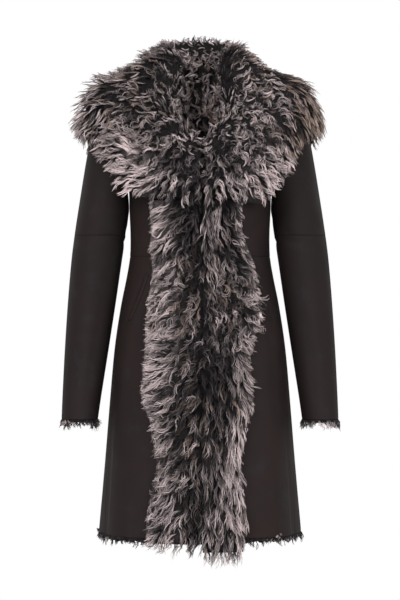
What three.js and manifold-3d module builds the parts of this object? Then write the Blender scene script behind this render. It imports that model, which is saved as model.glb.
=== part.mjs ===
// A long shearling coat in its worn shape: a fitted body with a waist seam, set-in sleeves, a cape collar
// and front edging of long curly wool, slanted pocket welts, and short wool below the hem and the cuffs.
//
// Millimetres, +Z up. The front faces -Y and the wearer's left is at +X. The origin is where the shoulders
// carry the coat, midway between the two points where a shoulder seam meets the neck.
//
// Each panel is a wall over one smooth form. A place on that form has an angle, -90 degrees at the centre
// front, 0 at the side and 90 at the centre back, and a rise, measured up the side seam from the hem, past
// the armhole and then in along the shoulder seam to the neck. Everything is worked out for the wearer's
// left, and the wearer's right is its mirror image unless a table says otherwise.

import * as THREE from "three";
import { mergeVertices } from "three/addons/utils/BufferGeometryUtils.js";
import Module from "manifold-3d";

const wasm = await Module();
wasm.setup();

const SEAM_GAP = 0.3;
const CURVED_SEAM_GAP = 0.8; // at the armhole and the neckline, where the two walls turn against each other
const WALL = 6; // the skin and the clipped wool inside it
const CLOSURE_X = 5; // the front edges meet a little to the wearer's left of the middle
const LEFT = 1;
const RIGHT = -1;
const SIDES = [LEFT, RIGHT];

const BACK_ANGLE = THREE.MathUtils.degToRad(90);

// Rises of the seams.
const WAIST_RISE = 548;
const UNDERARM_RISE = 690;
const SHOULDER_TIP_RISE = 879;
const NECK_RISE = 1007;

// The body's form. side, front and back are heights at the side seam, the centre front and the centre back.
// halfWidth, frontDepth and backDepth are the distances from the middle there. The first row only carries
// the form on below the hem, for the front edging that hangs past it.
const BODY_FORM = [
  { rise: -70, side: -1000, front: -1000, back: -1000, halfWidth: 204, frontDepth: 161, backDepth: 166 },
  { rise: 0, side: -930, front: -930, back: -930, halfWidth: 199, frontDepth: 156, backDepth: 161 },
  { rise: 130, side: -800, front: -800, back: -800, halfWidth: 189, frontDepth: 149, backDepth: 153 },
  { rise: 280, side: -650, front: -650, back: -650, halfWidth: 178, frontDepth: 140, backDepth: 145 },
  { rise: 370, side: -560, front: -560, back: -560, halfWidth: 170, frontDepth: 133, backDepth: 139 },
  { rise: 450, side: -480, front: -480, back: -480, halfWidth: 158, frontDepth: 124, backDepth: 127 },
  { rise: 510, side: -420, front: -420, back: -420, halfWidth: 146, frontDepth: 115, backDepth: 110 },
  { rise: 548, side: -382, front: -382, back: -382, halfWidth: 140, frontDepth: 109, backDepth: 99 },
  { rise: 590, side: -340, front: -340, back: -340, halfWidth: 139, frontDepth: 111, backDepth: 96 },
  { rise: 640, side: -290, front: -290, back: -290, halfWidth: 141, frontDepth: 120, backDepth: 101 },
  { rise: 690, side: -240, front: -240, back: -240, halfWidth: 143, frontDepth: 126, backDepth: 106 },
  { rise: 738, side: -193, front: -205, back: -190, halfWidth: 154, frontDepth: 124, backDepth: 110 },
  { rise: 787, side: -146, front: -172, back: -138, halfWidth: 166, frontDepth: 118, backDepth: 112 },
  { rise: 835, side: -99, front: -142, back: -88, halfWidth: 178, frontDepth: 108, backDepth: 108 },
  { rise: 879, side: -56, front: -118, back: -50, halfWidth: 188, frontDepth: 98, backDepth: 98 },
  { rise: 919, side: -38, front: -105, back: -25, halfWidth: 152, frontDepth: 90, backDepth: 86 },
  { rise: 963, side: -19, front: -95, back: -2, halfWidth: 112, frontDepth: 80, backDepth: 73 },
  { rise: 1007, side: 0, front: -88, back: 15, halfWidth: 72, frontDepth: 68, backDepth: 60 },
];
const BODY_FULLNESS = 0.12; // how much squarer than an ellipse a level section is

// Soft folds that deepen from the hip, start above the hem, down to the hem itself.
const SKIRT_FOLDS = { deepest: 4, start: 400, waves: 7, turned: 0.9 };

// The form under the cape collar. It follows the body near the neck and stands clear of the sleeve heads.
const CAPE_FORM = [
  { rise: 590, side: -340, front: -340, back: -340, halfWidth: 252, frontDepth: 134, backDepth: 116 },
  { rise: 640, side: -290, front: -290, back: -290, halfWidth: 247, frontDepth: 133, backDepth: 117 },
  { rise: 690, side: -240, front: -240, back: -240, halfWidth: 240, frontDepth: 132, backDepth: 118 },
  { rise: 738, side: -190, front: -205, back: -190, halfWidth: 232, frontDepth: 130, backDepth: 118 },
  { rise: 787, side: -140, front: -172, back: -138, halfWidth: 224, frontDepth: 124, backDepth: 118 },
  { rise: 835, side: -92, front: -142, back: -88, halfWidth: 214, frontDepth: 114, backDepth: 114 },
  { rise: 879, side: -49, front: -118, back: -49, halfWidth: 191, frontDepth: 104, backDepth: 104 },
  { rise: 919, side: -31, front: -103, back: -21, halfWidth: 154, frontDepth: 96, backDepth: 92 },
  { rise: 963, side: -12, front: -91, back: 2, halfWidth: 115, frontDepth: 86, backDepth: 79 },
  { rise: 1007, side: 6, front: -84, back: 20, halfWidth: 77, frontDepth: 74, backDepth: 66 },
];
const CAPE_FULLNESS = 0.12;

// The neckline down the front: where the front panel's edge leaves the closure and runs up to the neck.
const NECKLINE = [
  { rise: 778, angle: -90 },
  { rise: 787, angle: -83.8 },
  { rise: 835, angle: -76.9 },
  { rise: 879, angle: -71.3 },
  { rise: 919, angle: -63.3 },
  { rise: 963, angle: -50.2 },
  { rise: 990, angle: -34.9 },
  { rise: 1007, angle: -15 },
];

// The side seam sits a little towards the front near the hem.
const SIDE_SEAM = [
  { rise: 0, angle: -18 },
  { rise: 130, angle: -12 },
  { rise: 280, angle: -4 },
  { rise: 400, angle: 0 },
  { rise: 690, angle: 0 },
];

// The armhole is an oval between the underarm and the shoulder tip, this far round to the front and back.
const ARMHOLE_FRONT = THREE.MathUtils.degToRad(28);
const ARMHOLE_BACK = THREE.MathUtils.degToRad(26);
const ARMHOLE_STEPS = 10; // points from the shoulder tip to the underarm, on the panels and the sleeve

// Level sections of the sleeve below the armpit, down to the cuff.
const SLEEVE = [
  { height: -294, x: 193, y: 0, halfWidth: 48.5, halfDepth: 57 },
  { height: -340, x: 201, y: 2, halfWidth: 47.6, halfDepth: 55 },
  { height: -388, x: 208, y: 3, halfWidth: 47, halfDepth: 53 },
  { height: -468, x: 217, y: 1, halfWidth: 45, halfDepth: 50 },
  { height: -568, x: 227.5, y: -7, halfWidth: 41, halfDepth: 46 },
  { height: -668, x: 237, y: -18, halfWidth: 36.5, halfDepth: 43 },
  { height: -704, x: 239.3, y: -22, halfWidth: 35.4, halfDepth: 42 },
];
const ARMPIT_HEIGHT = SLEEVE[0].height;
const CUFF_HEIGHT = SLEEVE[SLEEVE.length - 1].height;
const ELBOW_SEAM_HEIGHT = -340;

// The cape collar, station by station round the neckline from the closure to the centre back. Each station
// runs from the neckline to an edge: edgeAngle and edgeRise place it on the cape form, drop lowers it on
// the wearer's left, stand is the height of the fold above the seam, overhang is how far the wool hangs
// past the skin, and loft scales the length of the wool.
const COLLAR = [
  { station: 0, edgeAngle: -90, edgeRise: 658, drop: 0, stand: 3, overhang: 0, loft: 0.8 },
  { station: 2, edgeAngle: -77, edgeRise: 658, drop: 0, stand: 4, overhang: 0, loft: 0.84 },
  { station: 4, edgeAngle: -64, edgeRise: 663, drop: 14, stand: 6, overhang: 0, loft: 0.86 },
  { station: 6, edgeAngle: -55, edgeRise: 684, drop: 4, stand: 9, overhang: 13, loft: 0.86 },
  { station: 8, edgeAngle: -47, edgeRise: 716, drop: 0, stand: 15, overhang: 16, loft: 0.88 },
  { station: 10, edgeAngle: -36, edgeRise: 760, drop: 0, stand: 22, overhang: 16, loft: 0.94 },
  { station: 12, edgeAngle: -12, edgeRise: 780, drop: -4, stand: 26, overhang: 16, loft: 1 },
  { station: 14, edgeAngle: 14, edgeRise: 772, drop: 0, stand: 28, overhang: 18, loft: 1 },
  { station: 17, edgeAngle: 46, edgeRise: 736, drop: 0, stand: 27, overhang: 18, loft: 0.95 },
  { station: 21, edgeAngle: 90, edgeRise: 712, drop: 0, stand: 27, overhang: 18, loft: 0.92 },
];
const COLLAR_START = 0.2; // of the neckline's first step, which keeps the collar on its side of the closure

// The collar's wool along a station, from the seam (0) over the fold (1) to the edge (5).
const COLLAR_WOOL = [
  { along: 0, length: 18 },
  { along: 1, length: 22 },
  { along: 2, length: 32 },
  { along: 3, length: 28 },
  { along: 4, length: 39 },
  { along: 4.6, length: 41 },
  { along: 5, length: 27 },
];

// The front edging of long wool: how far each strip reaches sideways from the middle of the coat.
const FRONT_FUR = [
  { height: -256, left: 84, right: 100 },
  { height: -333, left: 82, right: 94 },
  { height: -362, left: 91, right: 97 },
  { height: -391, left: 103, right: 92 },
  { height: -429, left: 112, right: 94 },
  { height: -468, left: 116, right: 101 },
  { height: -507, left: 117, right: 105 },
  { height: -545, left: 104, right: 106 },
  { height: -584, left: 97, right: 108 },
  { height: -623, left: 100, right: 112 },
  { height: -661, left: 103, right: 113 },
  { height: -700, left: 95, right: 98 },
  { height: -739, left: 87, right: 93 },
  { height: -778, left: 81, right: 84 },
  { height: -816, left: 83, right: 89 },
  { height: -855, left: 87, right: 97 },
  { height: -894, left: 91, right: 103 },
  { height: -932, left: 86, right: 104 },
  { height: -980, left: 82, right: 98 },
];
const FRONT_FUR_TOP_RISE = 656; // just below the collar's edge at the closure
const FRONT_FUR_BOTTOM = { [LEFT]: -969, [RIGHT]: -953 };
const FRONT_FUR_LENGTH = 29; // of the wool in the middle of a strip

const FUR_SHARE_ABOVE = 0.4; // of the panel's width, where the line of the edging's edge runs on above it

// The pocket welts, along a line that slants down the front skirts. The long wool covers the line's start.
const POCKET = { topX: 97, topHeight: -396, bottomX: 139, bottomHeight: -508, width: 7, thickness: 1.6 };
const POCKET_START = { [LEFT]: 0.63, [RIGHT]: 0.2 };

// The short wool that shows below the hem and the cuffs.
const EDGE_WOOL = { strip: 5, thickness: 5, spacing: 10.5, root: 3.1, shortest: 8, longest: 15 };

const COLOURS = {
  leather: { color: 0x2b2426, roughness: 0.72, metalness: 0 },
  longWool: { color: 0x746a6b, roughness: 0.95, metalness: 0 },
  edgeWool: { color: 0x1c1718, roughness: 0.95, metalness: 0 },
};

const radians = THREE.MathUtils.degToRad;
const sideName = (side) => (side === LEFT ? "left" : "right");

// Reads a table at any value of its key column, along smooth curves through its rows.
function smoothTable(rows, key) {
  const columns = Object.keys(rows[0]);
  const ordered = [...rows].sort((a, b) => a[key] - b[key]);
  const slope = (index, column) => {
    const before = ordered[Math.max(index - 1, 0)];
    const after = ordered[Math.min(index + 1, ordered.length - 1)];
    return (after[column] - before[column]) / (after[key] - before[key]);
  };
  return (value) => {
    const above = ordered.findIndex((row) => row[key] > value);
    const index = above < 0 ? ordered.length - 2 : Math.max(above - 1, 0);
    const low = ordered[index];
    const high = ordered[index + 1];
    const span = high[key] - low[key];
    const t = THREE.MathUtils.clamp((value - low[key]) / span, 0, 1);
    const read = (column) =>
      low[column] * (1 + 2 * t) * (1 - t) ** 2 +
      slope(index, column) * span * t * (1 - t) ** 2 +
      high[column] * t * t * (3 - 2 * t) +
      slope(index + 1, column) * span * t * t * (t - 1);
    return Object.fromEntries(columns.map((column) => [column, read(column)]));
  };
}

const bodyForm = smoothTable(BODY_FORM, "rise");
const capeForm = smoothTable(CAPE_FORM, "rise");
const necklineAt = smoothTable(NECKLINE, "rise");
const sideSeamAt = smoothTable(SIDE_SEAM, "rise");
const sleeveAt = smoothTable(SLEEVE, "height");
const collarAt = smoothTable(COLLAR, "station");
const collarWoolAt = smoothTable(COLLAR_WOOL, "along");
const frontFurAt = smoothTable(FRONT_FUR, "height");

// A place on the closed section of a form. Heights change evenly from the side to the centre front or back.
function sectionPoint(section, angle, fullness) {
  const c = Math.cos(angle);
  const s = Math.sin(angle);
  const depth = s < 0 ? section.frontDepth : section.backDepth;
  const height = s < 0 ? section.front : section.back;
  return new THREE.Vector3(
    section.halfWidth * c * (1 + fullness * s * s),
    depth * s * (1 + fullness * c * c),
    section.side * c * c + height * s * s,
  );
}

function skirtFold(angle, rise) {
  const { deepest, start, waves, turned } = SKIRT_FOLDS;
  const grown = THREE.MathUtils.clamp((start - rise) / start, 0, 1) ** 1.5;
  return deepest * grown * Math.sin(angle * waves + turned) * Math.cos(angle * 0.5) ** 2;
}

function bodyPoint(angle, rise) {
  const point = sectionPoint(bodyForm(rise), angle, BODY_FULLNESS);
  const fold = skirtFold(angle, rise);
  return point.add(new THREE.Vector3(Math.cos(angle), Math.sin(angle), 0).multiplyScalar(fold));
}

function capePoint(angle, rise) {
  return sectionPoint(capeForm(rise), angle, CAPE_FULLNESS);
}

// The outward direction of a surface(angle, rise), from neighbouring points.
function outward(surface, angle, rise) {
  const turn = 0.004;
  const step = 0.5;
  const across = surface(angle + turn, rise).sub(surface(angle - turn, rise));
  const up = surface(angle, rise + step).sub(surface(angle, rise - step));
  return across.cross(up).normalize();
}

// The angle at which the front of the body lies x from the middle.
function angleAtX(x, rise) {
  const { halfWidth } = bodyForm(rise);
  let c = x / halfWidth;
  for (let i = 0; i < 12; i++) c = x / (halfWidth * (1 + BODY_FULLNESS * (1 - c * c)));
  return -Math.acos(c);
}

// Turns a distance along a seam's edge into an angle.
function angleFor(distance, angle, rise) {
  const turn = 0.01;
  return (distance * turn) / bodyPoint(angle + turn, rise).distanceTo(bodyPoint(angle, rise));
}

function closureAngle(side, rise) {
  return angleAtX(side * CLOSURE_X + SEAM_GAP / 2, rise);
}

// The front panel's edge: the closure, then the neckline.
function frontEdge(side, rise) {
  const closure = closureAngle(side, rise);
  return rise <= NECKLINE[0].rise ? closure : Math.max(closure, radians(necklineAt(rise).angle));
}

function armholeAngle(rise, widest) {
  const middle = (UNDERARM_RISE + SHOULDER_TIP_RISE) / 2;
  const reach = (SHOULDER_TIP_RISE - UNDERARM_RISE) / 2;
  return widest * Math.sqrt(Math.max(0, 1 - ((rise - middle) / reach) ** 2));
}

// Where the outer edge of the long wool lies on a front panel. Above it, the line runs on up the panel.
function furEdge(side, rise) {
  if (rise > FRONT_FUR_TOP_RISE) {
    return frontEdge(side, rise) + FUR_SHARE_ABOVE * (sideEdge(rise, -1) - frontEdge(side, rise));
  }
  return angleAtX(frontFurAt(rise + BODY_FORM[1].side)[sideName(side)], rise);
}

// The seam between front and back: side seam, armhole, then shoulder seam. A positive way is the back.
function sideEdge(rise, way) {
  const base = rise < UNDERARM_RISE ? radians(sideSeamAt(rise).angle) : 0;
  const open = rise > UNDERARM_RISE && rise < SHOULDER_TIP_RISE;
  const hole = open ? armholeAngle(rise, way > 0 ? ARMHOLE_BACK : ARMHOLE_FRONT) : 0;
  return base + way * Math.max(hole, angleFor(SEAM_GAP / 2, base, rise));
}

function backEdge(rise) {
  return BACK_ANGLE - angleFor(SEAM_GAP / 2, BACK_ANGLE, rise);
}

function evenly(from, to, steps) {
  return Array.from({ length: steps + 1 }, (_, i) => from + ((to - from) * i) / steps);
}

// The armhole's rises, closer together at its top and bottom, where the oval turns.
const armholeRises = evenly(0, Math.PI, ARMHOLE_STEPS).map(
  (turn) => UNDERARM_RISE + ((SHOULDER_TIP_RISE - UNDERARM_RISE) * (1 - Math.cos(turn))) / 2,
);
const SKIRT_RISES = evenly(0, WAIST_RISE - SEAM_GAP / 2, 13);
const BODICE_RISES = [
  ...evenly(WAIST_RISE + SEAM_GAP / 2, UNDERARM_RISE, 4).slice(0, -1),
  ...armholeRises,
  ...evenly(SHOULDER_TIP_RISE, NECK_RISE, 4).slice(1),
];

const mirrored = (point, side) => new THREE.Vector3(point.x * side, point.y, point.z);

// A closed wall between two grids of points. around joins the last column to the first, as in a tube.
function wallGeometry(outer, inner, around = false) {
  const rows = outer.length;
  const columns = outer[0].length;
  const layer = rows * columns;
  const positions = [...outer.flat(), ...inner.flat()].flatMap((p) => [p.x, p.y, p.z]);
  const index = [];
  const quad = (a, b, c, d) => index.push(a, b, c, a, c, d);
  const at = (row, column) => row * columns + (column % columns);
  const lastColumn = around ? columns : columns - 1;
  for (let row = 0; row < rows - 1; row++) {
    for (let column = 0; column < lastColumn; column++) {
      const [a, b] = [at(row, column), at(row, column + 1)];
      const [c, d] = [at(row + 1, column + 1), at(row + 1, column)];
      quad(a, b, c, d);
      quad(a + layer, d + layer, c + layer, b + layer);
    }
  }
  for (let column = 0; column < lastColumn; column++) {
    const [first, next] = [at(0, column), at(0, column + 1)];
    const [last, after] = [at(rows - 1, column), at(rows - 1, column + 1)];
    quad(next, first, first + layer, next + layer);
    quad(last, after, after + layer, last + layer);
  }
  for (let row = 0; row < rows - 1 && !around; row++) {
    const [a, b] = [at(row, 0), at(row + 1, 0)];
    const [c, d] = [at(row, columns - 1), at(row + 1, columns - 1)];
    quad(a, b, b + layer, a + layer);
    quad(d, c, c + layer, d + layer);
  }
  return facingOut(positions, index);
}

// Makes the geometry, with its triangles turned round if they enclose a negative volume.
function facingOut(positions, index) {
  let volume = 0;
  const corner = (i) => new THREE.Vector3().fromArray(positions, index[i] * 3);
  for (let i = 0; i < index.length; i += 3) volume += corner(i).dot(corner(i + 1).cross(corner(i + 2)));
  if (volume < 0) index.reverse();
  const geometry = new THREE.BufferGeometry();
  geometry.setAttribute("position", new THREE.Float32BufferAttribute(positions, 3));
  geometry.setIndex(index);
  return geometry;
}

function meshOf(name, geometry, finish) {
  geometry.computeVertexNormals();
  const mesh = new THREE.Mesh(geometry, new THREE.MeshStandardMaterial(COLOURS[finish]));
  mesh.name = name;
  return mesh;
}

// The angles of a row of points across a front panel, of which the first few lie under the long wool.
const FUR_COLUMNS = 5;
const PLAIN_COLUMNS = 5;
const BACK_COLUMNS = 8;

function frontAngles(side, rise) {
  const covered = evenly(frontEdge(side, rise), furEdge(side, rise), FUR_COLUMNS);
  return [...covered, ...evenly(furEdge(side, rise), sideEdge(rise, -1), PLAIN_COLUMNS).slice(1)];
}

function backAngles(side, rise) {
  return evenly(sideEdge(rise, 1), backEdge(rise), BACK_COLUMNS);
}

// The outward direction of the body. Below the armholes it is level, so that a wall's edges are level too.
function bodyOutward(angle, rise) {
  const way = outward(bodyPoint, angle, rise);
  return rise <= UNDERARM_RISE ? way.setZ(0).normalize() : way;
}

// Points of one row on the body, moved outwards by given amounts. Points that would cross the closure or the
// centre back stay beside it.
function bodyRow(side, rise, angles, amounts) {
  const closure = side * CLOSURE_X + SEAM_GAP / 2;
  return angles.map((angle, i) => {
    const point = bodyPoint(angle, rise).addScaledVector(bodyOutward(angle, rise), amounts[i]);
    const least = angle < 0 ? closure : SEAM_GAP / 2;
    point.x = angle === closureAngle(side, rise) ? closure : Math.max(point.x, least);
    return mirrored(point, side);
  });
}

function panelGrids(side, rises, anglesAt) {
  const rows = rises.map((rise) => ({ rise, angles: anglesAt(side, rise) }));
  const layer = (amount) =>
    rows.map(({ rise, angles }) => bodyRow(side, rise, angles, angles.map(() => amount)));
  return { outer: layer(0), inner: layer(-WALL) };
}

function bodyMeshes(side) {
  const panels = [
    ["front_skirt", panelGrids(side, SKIRT_RISES, frontAngles)],
    ["front_bodice", panelGrids(side, BODICE_RISES, frontAngles)],
    ["back_skirt", panelGrids(side, SKIRT_RISES, backAngles)],
    ["back_bodice", panelGrids(side, BODICE_RISES, backAngles)],
  ];
  return panels.map(([name, { outer, inner }]) =>
    meshOf(`${name}_${sideName(side)}`, wallGeometry(outer, inner), "leather"),
  );
}

// The armhole's edge on the body at a turn round the sleeve: 0 at the shoulder tip, a quarter turn at the
// front and a half turn at the underarm. The sleeve's own edge lies inside it by the seam gap.
function armholePlace(turn) {
  const middle = (UNDERARM_RISE + SHOULDER_TIP_RISE) / 2;
  const reach = (SHOULDER_TIP_RISE - UNDERARM_RISE) / 2;
  const widest = Math.sin(turn) > 0 ? ARMHOLE_FRONT : ARMHOLE_BACK;
  return { angle: -widest * Math.sin(turn), rise: middle + reach * Math.cos(turn) };
}

function armholeEdge(turn) {
  const at = (someTurn) => {
    const { angle, rise } = armholePlace(someTurn);
    return bodyPoint(angle, rise);
  };
  const { angle, rise } = armholePlace(turn);
  const way = outward(bodyPoint, angle, rise);
  const around = at(turn + 0.02).sub(at(turn - 0.02)).normalize();
  const into = way.clone().cross(around).normalize();
  const outer = at(turn).addScaledVector(into, CURVED_SEAM_GAP);
  return { outer, inner: outer.clone().addScaledVector(way, -WALL) };
}

// A level section of the sleeve, with the diagonal crease that its bend presses in above the elbow.
function sleeveRing(turn, height) {
  const { x, y, halfWidth, halfDepth } = sleeveAt(height);
  const creaseTurn = 1.75 + (ELBOW_SEAM_HEIGHT - height) / 75;
  const near = Math.exp(-(((turn - creaseTurn) / 0.3) ** 2) - ((height - ELBOW_SEAM_HEIGHT) / 45) ** 2);
  const pressed = 1 - 0.07 * near;
  return new THREE.Vector3(
    x + halfWidth * Math.cos(turn) * pressed,
    y - halfDepth * Math.sin(turn) * pressed,
    height,
  );
}

// The sleeve's surface. along runs from 0 at the armhole to 1 at the armpit and 2 at the cuff.
function sleevePoint(turn, along) {
  if (along >= 1) return sleeveRing(turn, ARMPIT_HEIGHT + (CUFF_HEIGHT - ARMPIT_HEIGHT) * (along - 1));
  const start = armholeEdge(turn).outer;
  const end = sleeveRing(turn, ARMPIT_HEIGHT);
  const top = (1 + Math.cos(turn)) / 2;
  const level = Math.sin(turn);
  const leaving = new THREE.Vector3(14 + 50 * top, -9 * level, -2 - 26 * level ** 2 - 10 * top);
  const length = start.distanceTo(end);
  const arriving = new THREE.Vector3(0.16 * length, 0, -length);
  const t = along;
  return new THREE.Vector3()
    .addScaledVector(start, (1 + 2 * t) * (1 - t) ** 2)
    .addScaledVector(leaving, t * (1 - t) ** 2)
    .addScaledVector(end, t * t * (3 - 2 * t))
    .addScaledVector(arriving, t * t * (t - 1));
}

function sleeveOutward(turn, along) {
  const step = 0.01;
  const across = sleevePoint(turn + step, along).sub(sleevePoint(turn - step, along));
  const down = sleevePoint(turn, along + step).sub(sleevePoint(turn, along - step));
  return across.cross(down).normalize();
}

function sleeveRow(side, along) {
  const turns = evenly(0, 2 * Math.PI, 2 * ARMHOLE_STEPS).slice(0, -1);
  if (along === 0) {
    const edges = turns.map(armholeEdge);
    return {
      outer: edges.map((edge) => mirrored(edge.outer, side)),
      inner: edges.map((edge) => mirrored(edge.inner, side)),
    };
  }
  const points = turns.map((turn) => sleevePoint(turn, along));
  const behind = turns.map((turn, i) =>
    points[i].clone().addScaledVector(sleeveOutward(turn, along), -WALL),
  );
  return {
    outer: points.map((point) => mirrored(point, side)),
    inner: behind.map((point) => mirrored(point, side)),
  };
}

const alongAt = (height) => 1 + (ARMPIT_HEIGHT - height) / (ARMPIT_HEIGHT - CUFF_HEIGHT);

function sleeveMeshes(side) {
  const seam = alongAt(ELBOW_SEAM_HEIGHT);
  const gap = alongAt(ARMPIT_HEIGHT - SEAM_GAP / 2) - 1;
  const upper = [0, 0.1, 0.22, 0.38, 0.56, 0.76, 1, alongAt(-318), seam - gap];
  const lower = [seam + gap, alongAt(-362), alongAt(-390), ...evenly(alongAt(-430), 2, 6)];
  return [
    ["upper_sleeve", upper],
    ["lower_sleeve", lower],
  ].map(([name, alongs]) => {
    const rows = alongs.map((along) => sleeveRow(side, along));
    const outer = rows.map((row) => row.outer);
    const inner = rows.map((row) => row.inner);
    return meshOf(`${name}_${sideName(side)}`, wallGeometry(outer, inner, true), "leather");
  });
}

// Repeatable scatter between 0 and 1.
function scatter(index) {
  const value = Math.sin(index * 12.9898 + 4.1414) * 43758.5453;
  return value - Math.floor(value);
}

// The uneven clumps of long wool, in millimetres in and out.
function clump(across, along) {
  return (
    2.2 * Math.sin(across * 0.13 + 1.7 * Math.sin(along * 0.05)) +
    2.2 * Math.sin(along * 0.11 + 2.1 * Math.sin(across * 0.04) + 1)
  );
}

// Keeps a point of the collar on its own side of the closure or the centre back. Wool that would cross is
// pressed together over a margin, and skin stops there.
function clearOfClosure(point, side, margin) {
  const nearest = point.y < 0 ? side * CLOSURE_X + SEAM_GAP : SEAM_GAP / 2;
  const inside = point.x - nearest;
  if (margin > 0 && inside < margin) point.x = nearest + margin * Math.exp((inside - margin) / margin);
  point.x = Math.max(point.x, nearest);
  return point;
}

// The places round the neckline where the collar is sewn, which are the panels' own edge points.
function necklineStations(side) {
  const first = BODICE_RISES.findIndex((rise) => rise > NECKLINE[0].rise);
  const edge = BODICE_RISES.slice(first - 1).map((rise) => ({ angle: frontEdge(side, rise), rise }));
  edge[0].angle += COLLAR_START * (edge[1].angle - edge[0].angle);
  edge[0].rise += COLLAR_START * (edge[1].rise - edge[0].rise);
  const top = [frontAngles(side, NECK_RISE)[FUR_COLUMNS], ...backAngles(side, NECK_RISE)];
  return [...edge, ...top.map((angle) => ({ angle, rise: NECK_RISE }))];
}

// The collar's level way out and its way up at a station, evened out with those of the stations beside it.
function collarWays(stations, index) {
  const within = (i) => THREE.MathUtils.clamp(i, 0, stations.length - 1);
  const way = new THREE.Vector3();
  const up = new THREE.Vector3();
  for (const near of [index - 1, index, index, index + 1].map(within)) {
    const { angle, rise } = stations[near];
    const [before, after] = [stations[within(near - 1)], stations[within(near + 1)]];
    const along = bodyPoint(after.angle, after.rise).sub(bodyPoint(before.angle, before.rise));
    const level = outward(bodyPoint, angle, rise).setZ(0).normalize();
    way.add(level);
    up.add(level.clone().cross(along).normalize());
  }
  return { way: way.normalize(), up: up.normalize() };
}

// One station of the collar: matching points on its skin side and on its wool side.
function collarStation(side, stations, index) {
  const { angle, rise } = stations[index];
  const row = collarAt(index * (COLLAR[COLLAR.length - 1].station / (stations.length - 1)));
  const seam = bodyPoint(angle, rise);
  const { way, up } = collarWays(stations, index);
  const skin = [];
  const wool = [];
  const add = (point, direction, length, rough) => {
    skin.push(point);
    const lumps = rough ? clump(index * 18, skin.length * 22) : 0;
    wool.push(point.clone().addScaledVector(direction.normalize(), length + lumps));
  };
  const wools = (at) => collarWoolAt(at).length * row.loft;
  const turned = (out, rising) => way.clone().multiplyScalar(out).addScaledVector(up, rising);
  add(seam.clone().addScaledVector(up, CURVED_SEAM_GAP), turned(-1, 0.25), wools(0), false);
  const upper = seam.clone().addScaledVector(up, CURVED_SEAM_GAP + row.stand * 0.6);
  add(upper, turned(-0.9, 0.5), wools(0.5), false);
  add(seam.clone().add(turned(2.2, row.stand)), turned(-0.25, 1), wools(1), true);
  const edgeRise = row.edgeRise - (side === LEFT ? row.drop : 0);
  const edgeAngle = index === 0 ? closureAngle(side, rise) : radians(row.edgeAngle);
  const fallSteps = 8;
  for (let step = 0; step <= fallSteps; step++) {
    const t = step / fallSteps;
    const eased = t + 0.04 * (1 - t);
    const fallAngle = angle + (edgeAngle - angle) * eased;
    const fallRise = rise + (edgeRise - rise) * eased;
    const point = capePoint(fallAngle, fallRise);
    const facing = outward(capePoint, fallAngle, fallRise);
    if (step === 0) {
      point.addScaledVector(up, row.stand * 0.35);
      facing.add(up.clone().multiplyScalar(0.7));
    }
    add(point, facing, wools(2 + 3 * t), step > 0);
    if (step === fallSteps) {
      wool[wool.length - 1].z -= row.overhang * (0.85 + 0.3 * scatter(index * 3 + side));
    }
  }
  const clear = (point, margin) => mirrored(clearOfClosure(point, side, margin), side);
  return {
    skin: skin.map((point) => clear(point, 0)),
    wool: wool.map((point, i) => clear(point, i < 2 || point.y > 0 ? 0 : 9)),
  };
}

function collarMesh(side) {
  const stations = necklineStations(side);
  const rows = stations.map((_, index) => collarStation(side, stations, index));
  const geometry = wallGeometry(rows.map((row) => row.wool), rows.map((row) => row.skin));
  return meshOf(`collar_${sideName(side)}`, geometry, "longWool");
}

// A strip of long wool on the front panels, made from their points moved out. Its wool is longest in the
// middle, rounds over at the closure and lies down at the outer edge, and it hangs on below the hem.
function frontFurMesh(side) {
  const bottomRise = FRONT_FUR_BOTTOM[side] - BODY_FORM[1].side;
  const below = evenly(bottomRise, 0, 2).slice(0, -1);
  const bodice = BODICE_RISES.filter((rise) => rise > WAIST_RISE + 1 && rise <= FRONT_FUR_TOP_RISE);
  const outer = [];
  const inner = [];
  [...below, ...SKIRT_RISES, ...bodice].forEach((rise, row) => {
    const angles = frontAngles(side, rise).slice(0, FUR_COLUMNS + 1);
    const ending = row === 0 ? 0.5 : 1;
    const lengths = angles.map((_, i) => {
      const across = i / FUR_COLUMNS;
      const rounded = 1 - 0.22 * (1 - across) ** 6 - 0.8 * across ** 4;
      const lumps = i > 0 && i < FUR_COLUMNS ? clump(i * 23 + side * 40, rise * 1.1) : 0;
      return SEAM_GAP + (FRONT_FUR_LENGTH * rounded + lumps) * ending;
    });
    outer.push(bodyRow(side, rise, angles, lengths));
    inner.push(bodyRow(side, rise, angles, angles.map(() => SEAM_GAP)));
  });
  outer[0].forEach((point, i) => (point.z -= 6 * scatter(i * 5 + side)));
  return meshOf(`front_fur_${sideName(side)}`, wallGeometry(outer, inner), "longWool");
}

// A narrow welt over the slanted pocket mouth, raised off the front skirt.
function pocketMesh(side) {
  const steps = 6;
  const outer = [];
  const inner = [];
  evenly(POCKET_START[side], 1, steps).forEach((t) => {
    const height = POCKET.topHeight + (POCKET.bottomHeight - POCKET.topHeight) * t;
    const rise = height - BODY_FORM[1].side;
    const bow = 3 * Math.sin(Math.PI * t);
    const middle = POCKET.topX + (POCKET.bottomX - POCKET.topX) * t - bow;
    const angles = [-1, 0, 1].map((across) => angleAtX(middle + (across * POCKET.width) / 2, rise));
    const raised = SEAM_GAP + POCKET.thickness;
    outer.push(bodyRow(side, rise, angles, [raised - 0.6, raised, raised - 0.6]));
    inner.push(bodyRow(side, rise, angles, [SEAM_GAP, SEAM_GAP, SEAM_GAP]));
  });
  return meshOf(`pocket_welt_${sideName(side)}`, wallGeometry(outer, inner), "leather");
}

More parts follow.
